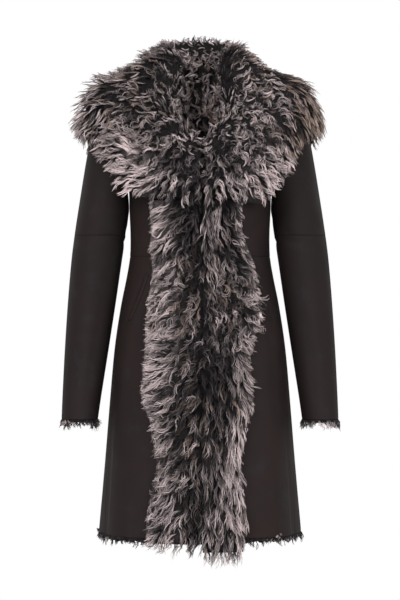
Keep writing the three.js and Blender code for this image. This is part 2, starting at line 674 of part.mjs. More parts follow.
// A closed solid for joining, from a geometry whose shared corners are merged.
function solidOf(geometry) {
  geometry.deleteAttribute("normal");
  geometry.deleteAttribute("uv");
  const merged = mergeVertices(geometry, 1e-4);
  return new wasm.Manifold(
    new wasm.Mesh({
      numProp: 3,
      vertProperties: merged.attributes.position.array,
      triVerts: new Uint32Array(merged.index.array),
    }),
  );
}

// One tapering three-sided lock of wool that hangs from a root and leans out a little.
function lockGeometry(root, across, out, length, radius, lean) {
  const rings = [
    { down: -2.5, size: 1 },
    { down: 0.55, size: 0.8 },
  ].map(({ down, size }) => {
    const fall = down < 0 ? down : down * length;
    const centre = root.clone().addScaledVector(out, lean * Math.max(down, 0) ** 2);
    centre.z -= fall;
    return [0, 1, 2].map((corner) => {
      const turn = (corner * 2 * Math.PI) / 3;
      return centre
        .clone()
        .addScaledVector(across, radius * size * Math.cos(turn))
        .addScaledVector(out, radius * size * 0.7 * Math.sin(turn));
    });
  });
  const tip = root.clone().addScaledVector(out, lean);
  tip.z -= length;
  const points = [...rings.flat(), tip];
  const index = [0, 1, 2];
  for (let ring = 0; ring < rings.length - 1; ring++) {
    for (let corner = 0; corner < 3; corner++) {
      const [a, b] = [ring * 3 + corner, ring * 3 + ((corner + 1) % 3)];
      index.push(a, a + 3, b, b, a + 3, b + 3);
    }
  }
  const lastRing = (rings.length - 1) * 3;
  for (let corner = 0; corner < 3; corner++) {
    index.push(lastRing + corner, points.length - 1, lastRing + ((corner + 1) % 3));
  }
  return facingOut(points.flatMap((p) => [p.x, p.y, p.z]), index);
}

// A band of short wool below an edge: a narrow strip that follows the edge, and locks that hang from it.
// edge(t) gives a place on the wall's outer face and its outward direction, for t from 0 to 1.
function woolEdgeMesh(name, edge, steps, around, seed) {
  const { strip, thickness, spacing, root, shortest, longest } = EDGE_WOOL;
  const places = evenly(0, 1, steps).map(edge);
  if (around) places.pop();
  const row = (inward, down) =>
    places.map(({ point, out }) => {
      const moved = point.clone().addScaledVector(out, -inward);
      moved.z -= down;
      return moved;
    });
  const from = (WALL - thickness) / 2;
  const band = wallGeometry(
    [row(from, SEAM_GAP), row(from, SEAM_GAP + strip)],
    [row(from + thickness, SEAM_GAP), row(from + thickness, SEAM_GAP + strip)],
    around,
  );
  let joined = solidOf(band);
  const ends = evenly(0, 1, 60).map((t) => edge(t).point);
  const length = ends.slice(1).reduce((sum, point, i) => sum + point.distanceTo(ends[i]), 0);
  const count = Math.round(length / spacing);
  for (let i = 0; i < count; i++) {
    const t = (i + 0.5 + 0.3 * (scatter(i + seed) - 0.5)) / count;
    const { point, out } = edge(t);
    const across = new THREE.Vector3(0, 0, 1).cross(out).normalize();
    const place = point.clone().addScaledVector(out, -WALL / 2);
    place.z -= SEAM_GAP + strip;
    const drop = shortest + (longest - shortest) * scatter(i * 3 + seed);
    const lean = 5 * (scatter(i * 5 + seed) - 0.4);
    joined = joined.add(solidOf(lockGeometry(place, across, out, drop, root, lean)));
  }
  const { numProp, vertProperties, triVerts } = joined.getMesh();
  const positions = Array.from({ length: (vertProperties.length / numProp) * 3 }, (_, i) =>
    vertProperties[Math.floor(i / 3) * numProp + (i % 3)],
  );
  return meshOf(name, facingOut(positions, Array.from(triVerts)), "edgeWool");
}

// The hem's wool runs from the front edging round to the centre back.
function hemWoolMesh(side) {
  const start = furEdge(side, 0) + 0.02;
  const end = backEdge(0) - angleFor(2 * SEAM_GAP, BACK_ANGLE, 0);
  const edge = (t) => {
    const angle = start + (end - start) * t;
    return { point: bodyRow(side, 0, [angle], [0])[0], out: mirrored(bodyOutward(angle, 0), side) };
  };
  return woolEdgeMesh(`hem_wool_${sideName(side)}`, edge, 20, false, side === LEFT ? 11 : 57);
}

function cuffWoolMesh(side) {
  const edge = (t) => {
    const turn = 2 * Math.PI * t;
    const out = sleeveOutward(turn, 1.99).setZ(0).normalize();
    return { point: mirrored(sleevePoint(turn, 2), side), out: mirrored(out, side) };
  };
  return woolEdgeMesh(`cuff_wool_${sideName(side)}`, edge, 20, true, side === LEFT ? 101 : 143);
}

const coat = new THREE.Group();
coat.name = "shearling_coat";
for (const side of SIDES) {
  coat.add(
    ...bodyMeshes(side),
    ...sleeveMeshes(side),
    collarMesh(side),
    frontFurMesh(side),
    pocketMesh(side),
    hemWoolMesh(side),
    cuffWoolMesh(side),
  );
}

export default coat;
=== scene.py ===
"""The looks of a long shearling coat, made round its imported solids. Sizes are in millimetres until a mesh is made."""

import bpy
import numpy as np
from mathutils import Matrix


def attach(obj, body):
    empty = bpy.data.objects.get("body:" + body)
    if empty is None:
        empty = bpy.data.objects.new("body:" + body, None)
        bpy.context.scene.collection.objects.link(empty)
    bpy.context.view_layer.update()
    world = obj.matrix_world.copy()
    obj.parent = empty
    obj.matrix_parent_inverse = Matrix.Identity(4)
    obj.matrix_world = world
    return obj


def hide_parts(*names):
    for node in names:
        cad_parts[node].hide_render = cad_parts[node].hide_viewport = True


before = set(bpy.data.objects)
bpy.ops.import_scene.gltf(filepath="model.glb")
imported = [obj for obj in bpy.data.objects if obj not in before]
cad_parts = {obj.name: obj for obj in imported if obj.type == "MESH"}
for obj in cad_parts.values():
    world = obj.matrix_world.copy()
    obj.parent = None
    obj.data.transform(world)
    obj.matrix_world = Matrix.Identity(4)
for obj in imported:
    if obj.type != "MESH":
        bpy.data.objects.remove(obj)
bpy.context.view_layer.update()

# Body panels
# Front and back bodices and skirts, cut from one shearling skin, 6 mm through: dark leather outside and
# clipped wool inside. Plain seams join them, and the leather rolls in along each one.
MM = 0.001
SIDES = {"left": 1, "right": -1}
SKIN = 6.0
SEAM_GAP = 0.3
CLOSURE = 5.0
WAIST, UNDERARM, SHOULDER_TIP, NECK = 548.0, 690.0, 879.0, 1007.0
HEM_HEIGHT = -930.0
FULLNESS = 0.12

BODY_COLUMNS = ("rise", "side", "front", "back", "half_width", "front_depth", "back_depth")
BODY_ROWS = [
    (-70, -1000, -1000, -1000, 204, 161, 166),
    (0, -930, -930, -930, 199, 156, 161),
    (130, -800, -800, -800, 189, 149, 153),
    (280, -650, -650, -650, 178, 140, 145),
    (370, -560, -560, -560, 170, 133, 139),
    (450, -480, -480, -480, 158, 124, 127),
    (510, -420, -420, -420, 146, 115, 110),
    (548, -382, -382, -382, 140, 109, 99),
    (590, -340, -340, -340, 139, 111, 96),
    (640, -290, -290, -290, 141, 120, 101),
    (690, -240, -240, -240, 143, 126, 106),
    (738, -193, -205, -190, 154, 124, 110),
    (787, -146, -172, -138, 166, 118, 112),
    (835, -99, -142, -88, 178, 108, 108),
    (879, -56, -118, -50, 188, 98, 98),
    (919, -38, -105, -25, 152, 90, 86),
    (963, -19, -95, -2, 112, 80, 73),
    (1007, 0, -88, 15, 72, 68, 60),
]
NECKLINE = [(778, -90), (787, -83.8), (835, -76.9), (879, -71.3), (919, -63.3), (963, -50.2), (990, -34.9), (1007, -15)]
SIDE_SEAM = [(0, -18), (130, -12), (280, -4), (400, 0), (690, 0)]
ARMHOLE_FRONT, ARMHOLE_BACK = np.radians(28), np.radians(26)
SKIRT_FOLD = {"deepest": 4.0, "start": 400.0, "waves": 7, "turned": 0.9}


def smooth_along(keys, values, at):
    """Values read between their keys: y0(1+2t)(1-t)^2 + m0 h t(1-t)^2 + y1 t^2(3-2t) + m1 h t^2(t-1)."""
    keys, values = np.asarray(keys, float), np.asarray(values, float)
    order = np.argsort(keys)
    keys, values = keys[order], values[order]
    before, after = np.maximum(np.arange(len(keys)) - 1, 0), np.minimum(np.arange(len(keys)) + 1, len(keys) - 1)
    shape = (-1,) + (1,) * (values.ndim - 1)
    slope = (values[after] - values[before]) / (keys[after] - keys[before]).reshape(shape)
    at = np.asarray(at, float)
    low = np.clip(np.searchsorted(keys, at, side="right") - 1, 0, len(keys) - 2)
    span = keys[low + 1] - keys[low]
    t = np.clip((at - keys[low]) / span, 0, 1)
    t, span = (part.reshape(part.shape + (1,) * (values.ndim - 1)) for part in (t, span))
    ends = values[low] * (1 + 2 * t) * (1 - t) ** 2 + values[low + 1] * t * t * (3 - 2 * t)
    return ends + span * (slope[low] * t * (1 - t) ** 2 + slope[low + 1] * t * t * (t - 1))


def read_rows(columns, rows, at):
    """Every column of a short table, read smoothly at values of its first one."""
    rows = np.array(rows, float)
    return dict(zip(columns, np.moveaxis(smooth_along(rows[:, 0], rows, at), -1, 0)))


def unit(vectors):
    return vectors / np.maximum(np.linalg.norm(vectors, axis=-1, keepdims=True), 1e-9)


def on_section(section, angle):
    """x = w cos a (1 + f sin^2 a), y = d sin a (1 + f cos^2 a), and z from the side's to the middle's height."""
    c, s = np.cos(angle), np.sin(angle)
    depth = np.where(s < 0, section["front_depth"], section["back_depth"])
    height = np.where(s < 0, section["front"], section["back"])
    x = section["half_width"] * c * (1 + FULLNESS * s * s)
    y = depth * s * (1 + FULLNESS * c * c)
    return np.stack([x, y, section["side"] * c * c + height * s * s], axis=-1)


def body_point(angle, rise):
    """The coat's outer face: its section, with soft folds d ((start - rise) / start)^1.5 sin(7 a + t) low down."""
    angle, rise = np.broadcast_arrays(np.asarray(angle, float), np.asarray(rise, float))
    point = on_section(read_rows(BODY_COLUMNS, BODY_ROWS, rise), angle)
    grown = np.clip((SKIRT_FOLD["start"] - rise) / SKIRT_FOLD["start"], 0, 1) ** 1.5
    fold = SKIRT_FOLD["deepest"] * grown * np.sin(angle * SKIRT_FOLD["waves"] + SKIRT_FOLD["turned"])
    fold = fold * np.cos(angle / 2) ** 2
    return point + fold[..., None] * np.stack([np.cos(angle), np.sin(angle), 0 * angle], axis=-1)


def outward(surface, first, second, steps=(0.004, 0.5)):
    """The unit normal of surface(first, second), from its two slopes."""
    a, b = steps
    across = surface(first + a, second) - surface(first - a, second)
    up = surface(first, second + b) - surface(first, second - b)
    return unit(np.cross(across, up))


def body_outward(angle, rise):
    """The body's normal, kept level below the underarm."""
    way = outward(body_point, angle, rise)
    way[..., 2] = np.where(rise <= UNDERARM, 0, way[..., 2])
    return unit(way)


def angle_at_x(x, rise):
    """The angle at which the front lies x from the middle: cos a = x / (w (1 + f sin^2 a)), by repetition."""
    half_width = read_rows(BODY_COLUMNS, BODY_ROWS, rise)["half_width"]
    c = x / half_width
    for _ in range(12):
        c = x / (half_width * (1 + FULLNESS * (1 - c * c)))
    return -np.arccos(c)


def angle_for(distance, angle, rise):
    """A small distance across the body as a turn."""
    return distance * 0.01 / np.linalg.norm(body_point(angle + 0.01, rise) - body_point(angle, rise), axis=-1)


def front_edge(side, rise):
    closure = angle_at_x(side * CLOSURE + SEAM_GAP / 2, rise)
    neckline = np.radians(read_rows(("rise", "angle"), NECKLINE, rise)["angle"])
    return np.where(rise <= NECKLINE[0][0], closure, np.maximum(closure, neckline))


def side_edge(rise, way):
    """The side seam, the oval armhole and the shoulder seam, seen from the front panel (-1) or the back one (1)."""
    seam = np.radians(read_rows(("rise", "angle"), SIDE_SEAM, rise)["angle"])
    middle, reach = (UNDERARM + SHOULDER_TIP) / 2, (SHOULDER_TIP - UNDERARM) / 2
    widest = ARMHOLE_BACK if way > 0 else ARMHOLE_FRONT
    hole = widest * np.sqrt(np.maximum(0, 1 - ((rise - middle) / reach) ** 2))
    base = np.where(rise < UNDERARM, seam, 0)
    return base + way * np.maximum(hole, angle_for(SEAM_GAP / 2, base, rise))


def back_edge(rise):
    return np.pi / 2 - angle_for(SEAM_GAP / 2, np.pi / 2, rise)


def body_row(side, angle, rise, amount):
    """Points on the body moved outwards, kept beside the closure and the centre back."""
    point = body_point(angle, rise) + body_outward(angle, rise) * np.asarray(amount, float)[..., None]
    least = np.where(angle < 0, side * CLOSURE + SEAM_GAP / 2, SEAM_GAP / 2)
    point[..., 0] = np.maximum(point[..., 0], least)
    return point * (side, 1, 1)


# The main creases of the body. Each is a soft trough (or ridge, where depth is above 0) on one side or both (0).
CREASES = [  # side, angle in degrees, rise, half length, half width, depth, tilt in degrees
    (0, -27, 115, 100, 3.4, 1.5, 0),
    (0, -38, 462, 50, 3.2, -3.0, 20),
    (-1, -52, 470, 62, 9, -2.2, 12),
    (-1, -44, 300, 120, 16, -1.8, 3),
    (-1, -33, 190, 170, 20, 2.0, 1),
    (-1, -20, 110, 120, 12, -1.6, -2),
    (-1, -40, 606, 42, 7, -1.4, 62),
    (-1, -30, 640, 36, 6, -1.6, 74),
    (-1, -18, 668, 30, 6, -1.5, 55),
    (1, -50, 455, 70, 8, -2.4, -14),
    (1, -38, 330, 110, 15, -1.6, -4),
    (1, -46, 180, 150, 18, 1.8, 0),
    (1, -24, 120, 140, 12, -1.8, 2),
    (1, -36, 610, 40, 7, -1.5, -66),
    (1, -26, 650, 34, 6, -1.4, -72),
    (1, -14, 672, 26, 6, -1.6, -50),
    (0, 28, 420, 80, 14, -2.0, 8),
    (0, 52, 560, 60, 8, -1.8, 74),
    (0, 66, 588, 54, 8, -2.1, 84),
    (0, 40, 620, 46, 7, -1.6, 66),
    (0, 60, 250, 190, 22, 2.4, 2),
    (0, 76, 160, 180, 18, -2.0, -1),
    (0, 36, 150, 150, 16, -1.8, 3),
]
MIDDLE_RADIUS = 150.0  # turns an angle on the body into a distance for the creases


def creased(rows, side, angle, level, radius):
    """The sum of depth exp(-(a / half_width)^2) exp(-(l / half_length)^4), a and l turned by the crease's tilt."""
    total = np.zeros(np.broadcast(angle, level).shape)
    for crease_side, crease_angle, crease_level, half_length, half_width, depth, tilt in rows:
        if crease_side in (0, side):
            turn = np.radians(tilt)
            x, y = (angle - np.radians(crease_angle)) * radius, level - crease_level
            a, l = x * np.cos(turn) + y * np.sin(turn), y * np.cos(turn) - x * np.sin(turn)
            total += depth * np.exp(-((a / half_width) ** 2) - (l / half_length) ** 4)
    return total


NEAR_SEAM = np.array([0.0, 1.2, 2.6, 4.6])
SEAM_ROLL = {"depth": 0.5, "reach": 1.6}


def seam_steps(length, count):
    """Distances from 0 to each length: close together by both seams, and even between them."""
    length = np.asarray(length, float)[..., None]
    near = np.broadcast_to(NEAR_SEAM, length.shape[:-1] + NEAR_SEAM.shape)
    inner = NEAR_SEAM[-1] + (length - 2 * NEAR_SEAM[-1]) * np.arange(1, count) / count
    return np.concatenate([near, inner, length - near[..., ::-1]], axis=-1)


def rolled(distance):
    """How far the leather turns in beside a seam: -depth exp(-(distance / reach)^2)."""
    return -SEAM_ROLL["depth"] * np.exp(-((distance / SEAM_ROLL["reach"]) ** 2))


def wall_faces(rows, columns, around):
    """Corner numbers of the outer and inner faces of a wall of rows x columns points, then of its rim."""
    index = np.arange(rows * columns).reshape(rows, columns)
    if around:
        index = np.concatenate([index, index[:, :1]], axis=1)
    face = np.stack([index[:-1, :-1], index[:-1, 1:], index[1:, 1:], index[1:, :-1]], axis=-1).reshape(-1, 4)
    layer = rows * columns
    ends = [(index[0, 1:], index[0, :-1]), (index[-1, :-1], index[-1, 1:])]
    if not around:
        ends += [(index[:-1, 0], index[1:, 0]), (index[1:, -1], index[:-1, -1])]
    rim = [np.stack([a, b, b + layer, a + layer], axis=-1) for a, b in ends]
    return face, face[:, ::-1] + layer, np.concatenate(rim)


def new_piece(name, points, faces, finishes, finish_of_face=None):
    """A smooth mesh piece at the origin, in metres, with its faces turned outwards."""
    points = points.reshape(-1, 3) * MM
    a, b, c = (points[faces[:, i]] for i in range(3))
    if np.einsum("ij,ij->i", a, np.cross(b, c)).sum() < 0:
        faces = faces[:, ::-1]
    mesh = bpy.data.meshes.new(name)
    mesh.from_pydata(points.tolist(), [], faces.tolist())
    for finish in finishes:
        mesh.materials.append(finish)
    if finish_of_face is not None:
        mesh.polygons.foreach_set("material_index", finish_of_face)
    mesh.polygons.foreach_set("use_smooth", np.ones(len(faces), bool))
    piece = bpy.data.objects.new(name, mesh)
    bpy.context.collection.objects.link(piece)
    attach(piece, "root")
    return piece


def wall_piece(name, outer, inner, finishes, around=False):
    """A closed wall between two grids of points: the first finish outside and on the rim, the last inside."""
    face, back, rim = wall_faces(*outer.shape[:2], around)
    finish_of_face = np.repeat([0, len(finishes) - 1, 0], [len(face), len(back), len(rim)])
    points = np.concatenate([outer.reshape(-1, 3), inner.reshape(-1, 3)])
    return new_piece(name, points, np.concatenate([face, back, rim]), finishes, finish_of_face)


class Wire:
    """An output of a material's node. Its operators add Math nodes."""

    def __init__(self, finish, socket):
        self.finish, self.socket = finish, socket

    def sum_of(self, operation, first, second):
        return self.finish.node("ShaderNodeMath", {"operation": operation}, {0: first, 1: second})

    def __add__(self, other):
        return self.sum_of("ADD", self, other)

    def __sub__(self, other):
        return self.sum_of("SUBTRACT", self, other)

    def __rsub__(self, other):
        return self.sum_of("SUBTRACT", other, self)

    def __mul__(self, other):
        return self.sum_of("MULTIPLY", self, other)

    def __pow__(self, other):
        return self.sum_of("POWER", self, other)

    __radd__ = __add__
    __rmul__ = __mul__


class Finish:
    """A procedural material. What is the same all over is set on the shader's own sockets."""

    def __init__(self, name, **uniform):
        self.material = bpy.data.materials.new(name)
        self.material.use_nodes = True
        self.tree = self.material.node_tree
        self.shader = self.tree.nodes["Principled BSDF"]
        for socket, value in uniform.items():
            self.shader.inputs[socket.replace("_", " ")].default_value = value

    def node(self, kind, settings=None, values=None, output=0):
        made = self.tree.nodes.new(kind)
        for setting, value in (settings or {}).items():
            if setting == "stops":
                stops = made.color_ramp.elements
                for _ in range(len(value) - 2):
                    stops.new(0.5)
                for stop, (place, colour) in zip(stops, value):
                    stop.position, stop.color = place, (*colour, 1)
            else:
                setattr(made, setting, value)
        for socket, value in (values or {}).items():
            if isinstance(value, Wire):
                self.tree.links.new(value.socket, made.inputs[socket])
            else:
                made.inputs[socket].default_value = value
        return Wire(self, made.outputs[output])

    def feed(self, socket, wire):
        self.tree.links.new(wire.socket, self.shader.inputs[socket])

    def blend(self, share, first, second):
        """One colour turning into another as share goes from 0 to 1."""
        colours = [value if isinstance(value, Wire) else (*value, 1) for value in (first, second)]
        values = {0: share, 6: colours[0], 7: colours[1]}
        return self.node("ShaderNodeMix", {"data_type": "RGBA"}, values, output=2)

    def noise(self, scale, detail, at, roughness=0.55):
        values = {"Vector": at, "Scale": scale, "Detail": detail, "Roughness": roughness}
        return self.node("ShaderNodeTexNoise", None, values)

    def between(self, wire, low, high):
        """0 below low, 1 above high, and a smooth step between."""
        settings = {"interpolation_type": "SMOOTHSTEP"}
        return self.node("ShaderNodeMapRange", settings, {"Value": wire, "From Min": low, "From Max": high})


LEATHER_BROWN = (0.0112, 0.0066, 0.0066)
LEATHER_WARM = (0.0150, 0.0086, 0.0080)
LEATHER_WORN = (0.0150, 0.0127, 0.0148)
LEATHER_SLEEVE = (0.0106, 0.0076, 0.0075)
CLIPPED_WOOL_DARK = (0.010, 0.008, 0.008)
CLIPPED_WOOL_PALE = (0.045, 0.038, 0.038)


def leather_finish(name, brown, warm):
    """Waxed dark leather: warm and worn patches a hand wide, pores about a millimetre across."""
    leather = Finish(name, Roughness=0.7, Specular_IOR_Level=0.16)
    place = leather.node("ShaderNodeTexCoord", output="Object")
    patches = leather.between(leather.noise(9, 3, place), 0.38, 0.68)
    worn = leather.between(leather.noise(26, 5, place, 0.62), 0.5, 0.78)
    colour = leather.blend(patches, brown, warm)
    leather.feed("Base Color", leather.blend(worn * 0.55, colour, LEATHER_WORN))
    pores = leather.node("ShaderNodeTexVoronoi", {"feature": "F1"}, {"Vector": place, "Scale": 620})
    nap = leather.noise(1900, 2, place)
    leather.feed("Roughness", 0.66 + patches * 0.07 + nap * 0.08)
    height = pores * 0.5 + nap * 0.35 + leather.noise(150, 4, place) * 0.8
    values = {"Strength": 0.32, "Distance": 0.0006, "Height": height}
    leather.feed("Normal", leather.node("ShaderNodeBump", None, values))
    return leather.material


def clipped_wool_finish():
    """The wool inside, clipped short: dark, matt and crimped."""
    wool = Finish("clipped wool", Roughness=0.95, Specular_IOR_Level=0.1)
    place = wool.node("ShaderNodeTexCoord", output="Object")
    tufts = wool.node("ShaderNodeTexVoronoi", {"feature": "SMOOTH_F1"}, {"Vector": place, "Scale": 210})
    colour = wool.blend(wool.between(tufts, 0.1, 0.75), CLIPPED_WOOL_PALE, CLIPPED_WOOL_DARK)
    wool.feed("Base Color", colour)
    height = wool.noise(420, 4, place) - tufts
    wool.feed("Normal", wool.node("ShaderNodeBump", None, {"Strength": 0.9, "Distance": 0.003, "Height": height}))
    return wool.material


leather, clipped_wool = leather_finish("dark leather", LEATHER_BROWN, LEATHER_WARM), clipped_wool_finish()
HOLE_RISES = UNDERARM + (SHOULDER_TIP - UNDERARM) * (1 - np.cos(np.linspace(0, np.pi, 31))) / 2
SKIRT_RISES = seam_steps(WAIST - SEAM_GAP / 2, 60)
BODICE_FOOT = WAIST + SEAM_GAP / 2 + seam_steps(UNDERARM - WAIST, 19)[:-4]
BODICE_TOP = SHOULDER_TIP + seam_steps(NECK - SHOULDER_TIP, 17)[4:]
BODICE_RISES = np.concatenate([BODICE_FOOT, HOLE_RISES, BODICE_TOP])
PANELS = {  # rises, columns, and the size and area that each was cut to
    "front_skirt": {"rises": SKIRT_RISES, "columns": 30, "cut": (0.29, 0.555), "area": 0.136},
    "front_bodice": {"rises": BODICE_RISES, "columns": 26, "cut": (0.26, 0.47), "area": 0.067},
    "back_skirt": {"rises": SKIRT_RISES, "columns": 32, "cut": (0.31, 0.555), "area": 0.155},
    "back_bodice": {"rises": BODICE_RISES, "columns": 26, "cut": (0.24, 0.49), "area": 0.081},
}
for side_name, side in SIDES.items():
    for panel, plan in PANELS.items():
        rise = plan["rises"][:, None]
        if "front" in panel:
            first, last = front_edge(side, rise), side_edge(rise, -1)
        else:
            first, last = side_edge(rise, 1), back_edge(rise)
        width = np.abs(last - first)[:, 0] * MIDDLE_RADIUS
        share = seam_steps(width, plan["columns"]) / width[:, None]
        angle = first + (last - first) * share
        to_seam = np.minimum(np.minimum(share, 1 - share) * width[:, None], rise - rise[0])
        to_seam = np.minimum(to_seam, rise[-1] - rise)
        pressed = creased(CREASES, side, angle, rise, MIDDLE_RADIUS)
        outer = body_row(side, angle, rise, pressed + rolled(to_seam))
        inner = body_row(side, angle, rise, pressed - SKIN)
        if "back" in panel:
            inner[:, -1, 0] = 0  # the two halves' wool meets behind the seam
        name = f"{panel}_{side_name}"
        piece = wall_piece(f"{name}_shearling", outer, inner, [leather, clipped_wool])
        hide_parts(name)

# Sleeves
# Set-in sleeves of the same shearling in two lengths, joined above the elbow, each closed by one seam that
# runs down the inside. They hang just clear of the body with their bend pressed in at the elbow.
SLEEVE_COLUMNS = ("height", "x", "y", "half_width", "half_depth")
SLEEVE_ROWS = [
    (-704, 239.2, -22, 36.3, 42),
    (-668, 236.2, -18, 38.2, 43),
    (-568, 226.4, -7, 43.7, 46),
    (-468, 215.8, 1, 48.2, 50),
    (-388, 206.7, 3, 50.6, 53),
    (-340, 199.9, 2, 51.4, 55),
    (-294, 193.3, 0, 51.0, 57),
]
CUFF, ELBOW_SEAM, ARMPIT = -704.0, -340.0, -294.0
ARMHOLE_GAP = 0.8
INNER_SEAM = np.radians(204)
SLEEVE_RADIUS = 46.0
SLEEVE_ROLL = 0.4  # the sleeves' seams are pressed flatter than the body's
SLEEVE_CREASES = [  # side, turn in degrees (90 is the front), height, half length, half width, depth, tilt
    (-1, 84, -470, 150, 13, 1.6, 2),
    (-1, 118, -500, 170, 12, -1.6, -3),
    (-1, 128, -346, 30, 5, -1.9, 70),
    (-1, 30, -352, 26, 5, -1.5, -74),
    (-1, 96, -536, 34, 7, -1.3, 84),
    (-1, 150, -318, 36, 6, -2.0, 58),
    (-1, 70, -640, 60, 10, -1.2, 8),
    (1, 92, -430, 140, 12, 1.6, -3),
    (1, 60, -520, 160, 12, -1.7, 2),
    (1, 112, -352, 36, 5, -2.1, -66),
    (1, 36, -330, 24, 5, -1.6, 78),
    (1, 66, -302, 40, 6, -1.4, -34),
    (1, 146, -322, 34, 6, -2.0, -60),
    (1, 100, -610, 70, 10, -1.3, 4),
    (0, 176, -352, 26, 6, -2.2, 86),
    (0, 232, -372, 34, 7, -2.4, 76),
    (0, 262, -404, 40, 8, -2.0, 66),
    (0, 246, -336, 40, 7, -2.0, 84),
    (0, 300, -380, 44, 8, -1.8, 70),
    (0, 270, -560, 120, 14, -1.8, 3),
]


def armhole_edge(turn):
    """The armhole's edge, turn 0 at the shoulder tip and a quarter turn at the front, and the body's normal there."""
    middle, reach = (UNDERARM + SHOULDER_TIP) / 2, (SHOULDER_TIP - UNDERARM) / 2

    def place(turn):
        widest = np.where(np.sin(turn) > 0, ARMHOLE_FRONT, ARMHOLE_BACK)
        return -widest * np.sin(turn), middle + reach * np.cos(turn)

    way = outward(body_point, *place(turn))
    around = unit(body_point(*place(turn + 0.02)) - body_point(*place(turn - 0.02)))
    return body_point(*place(turn)) + unit(np.cross(way, around)) * ARMHOLE_GAP, way


def sleeve_ring(turn, height):
    """A level oval x + w cos t, y - d sin t, less 7% where the bend presses in a diagonal crease."""
    ring = read_rows(SLEEVE_COLUMNS, SLEEVE_ROWS, height)
    crease_turn = 1.75 + (ELBOW_SEAM - height) / 75
    pressed = 1 - 0.07 * np.exp(-(((turn - crease_turn) / 0.3) ** 2) - ((height - ELBOW_SEAM) / 45) ** 2)
    x = ring["x"] + ring["half_width"] * np.cos(turn) * pressed
    y = ring["y"] - ring["half_depth"] * np.sin(turn) * pressed
    return np.stack([x, y, height + 0 * x], axis=-1)


def sleeve_point(turn, along):
    """Rings from the armpit (1) to the cuff (2), and a cubic from the armhole (0) to the armpit's ring."""
    turn, along = np.broadcast_arrays(np.asarray(turn, float), np.asarray(along, float))
    below = sleeve_ring(turn, ARMPIT + (CUFF - ARMPIT) * np.maximum(along - 1, 0))
    start, end = armhole_edge(turn)[0], sleeve_ring(turn, np.full(turn.shape, ARMPIT))
    top, s = (1 + np.cos(turn)) / 2, np.sin(turn)
    leaving = np.stack([14 + 50 * top, -9 * s, -2 - 26 * s * s - 10 * top], axis=-1)
    length = np.linalg.norm(start - end, axis=-1)
    arriving = np.stack([0.16 * length, 0 * length, -length], axis=-1)
    t = np.minimum(along, 1)[..., None]
    above = start * (1 + 2 * t) * (1 - t) ** 2 + leaving * t * (1 - t) ** 2
    above += end * t * t * (3 - 2 * t) + arriving * t * t * (t - 1)
    return np.where(along[..., None] >= 1, below, above)


def along_at(height):
    return 1 + (ARMPIT - height) / (ARMPIT - CUFF)


seam_along, gap_along = along_at(ELBOW_SEAM), along_at(ARMPIT - SEAM_GAP / 2) - 1
SLEEVE_PARTS = {  # where each starts and ends, its rows, and the size that it was cut to
    "upper_sleeve": {"from": 0.0, "to": seam_along - gap_along, "length": 235, "rows": 34, "cut": (0.34, 0.33), "area": 0.069},
    "lower_sleeve": {"from": seam_along + gap_along, "to": 2.0, "length": 364, "rows": 50, "cut": (0.33, 0.365), "area": 0.102},
}
sleeve_leather = leather_finish("dark sleeve leather", LEATHER_BROWN, LEATHER_SLEEVE)
turn_steps = seam_steps(2 * np.pi * SLEEVE_RADIUS, 42)[:-1] / SLEEVE_RADIUS
turn = (INNER_SEAM + turn_steps)[None, :]
to_inner_seam = np.minimum(turn_steps, 2 * np.pi - turn_steps) * SLEEVE_RADIUS
for side_name, side in SIDES.items():
    for part, plan in SLEEVE_PARTS.items():
        distance = seam_steps(plan["length"], plan["rows"])
        along = (plan["from"] + (plan["to"] - plan["from"]) * distance / plan["length"])[:, None]
        point, way = sleeve_point(turn, along), outward(sleeve_point, turn, along, (0.01, 0.01))
        _, body_way = armhole_edge(turn)
        way = unit(body_way + (way - body_way) * np.clip(along / 0.1, 0, 1)[..., None])
        wrapped = turn % (2 * np.pi)
        pressed = creased(SLEEVE_CREASES, side, wrapped, point[..., 2], SLEEVE_RADIUS) * np.clip(along * 2, 0, 1)
        to_end = np.minimum(distance, plan["length"] - distance)[:, None]
        roll = SLEEVE_ROLL * rolled(np.minimum(to_end, 1.6 * to_inner_seam[None, :]))
        outer = (point + way * (pressed + roll)[..., None]) * (side, 1, 1)
        inner = (point + way * (pressed - SKIN)[..., None]) * (side, 1, 1)
        name = f"{part}_{side_name}"
        piece = wall_piece(f"{name}_shearling", outer, inner, [sleeve_leather, clipped_wool], around=True)
        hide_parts(name)

# Collar
# A cape collar of long curly lambskin in two halves, sewn round the neckline, folded over and falling on the
# shoulders. The wool grows in locks, black at the root and frosted pale at the tips.
CAPE_ROWS = [
    (590, -340, -340, -340, 252, 134, 116),
    (640, -290, -290, -290, 247, 133, 117),
    (690, -240, -240, -240, 240, 132, 118),
    (738, -190, -205, -190, 232, 130, 118),
    (787, -140, -172, -138, 224, 124, 118),
    (835, -92, -142, -88, 214, 114, 114),
    (879, -49, -118, -49, 191, 104, 104),
    (919, -31, -103, -21, 154, 96, 92),
    (963, -12, -91, 2, 115, 86, 79),
    (1007, 6, -84, 20, 77, 74, 66),
]
COLLAR_COLUMNS = ("station", "edge_angle", "edge_rise", "drop", "stand", "overhang", "loft")
COLLAR_ROWS = [
    (0, -90, 658, 0, 3, 0, 0.8),
    (2, -77, 658, 0, 4, 0, 0.84),
    (4, -64, 663, 14, 6, 0, 0.86),
    (6, -55, 684, 4, 9, 13, 0.86),
    (8, -47, 716, 0, 15, 16, 0.88),
    (10, -36, 760, 0, 22, 16, 0.94),
    (12, -12, 780, -4, 26, 16, 1),
    (14, 14, 772, 0, 28, 18, 1),
    (17, 46, 736, 0, 27, 18, 0.95),
    (21, 90, 712, 0, 27, 18, 0.92),
]
COLLAR_WOOL = [(0, 18), (1, 22), (2, 32), (3, 28), (4, 39), (4.6, 41), (5, 27)]
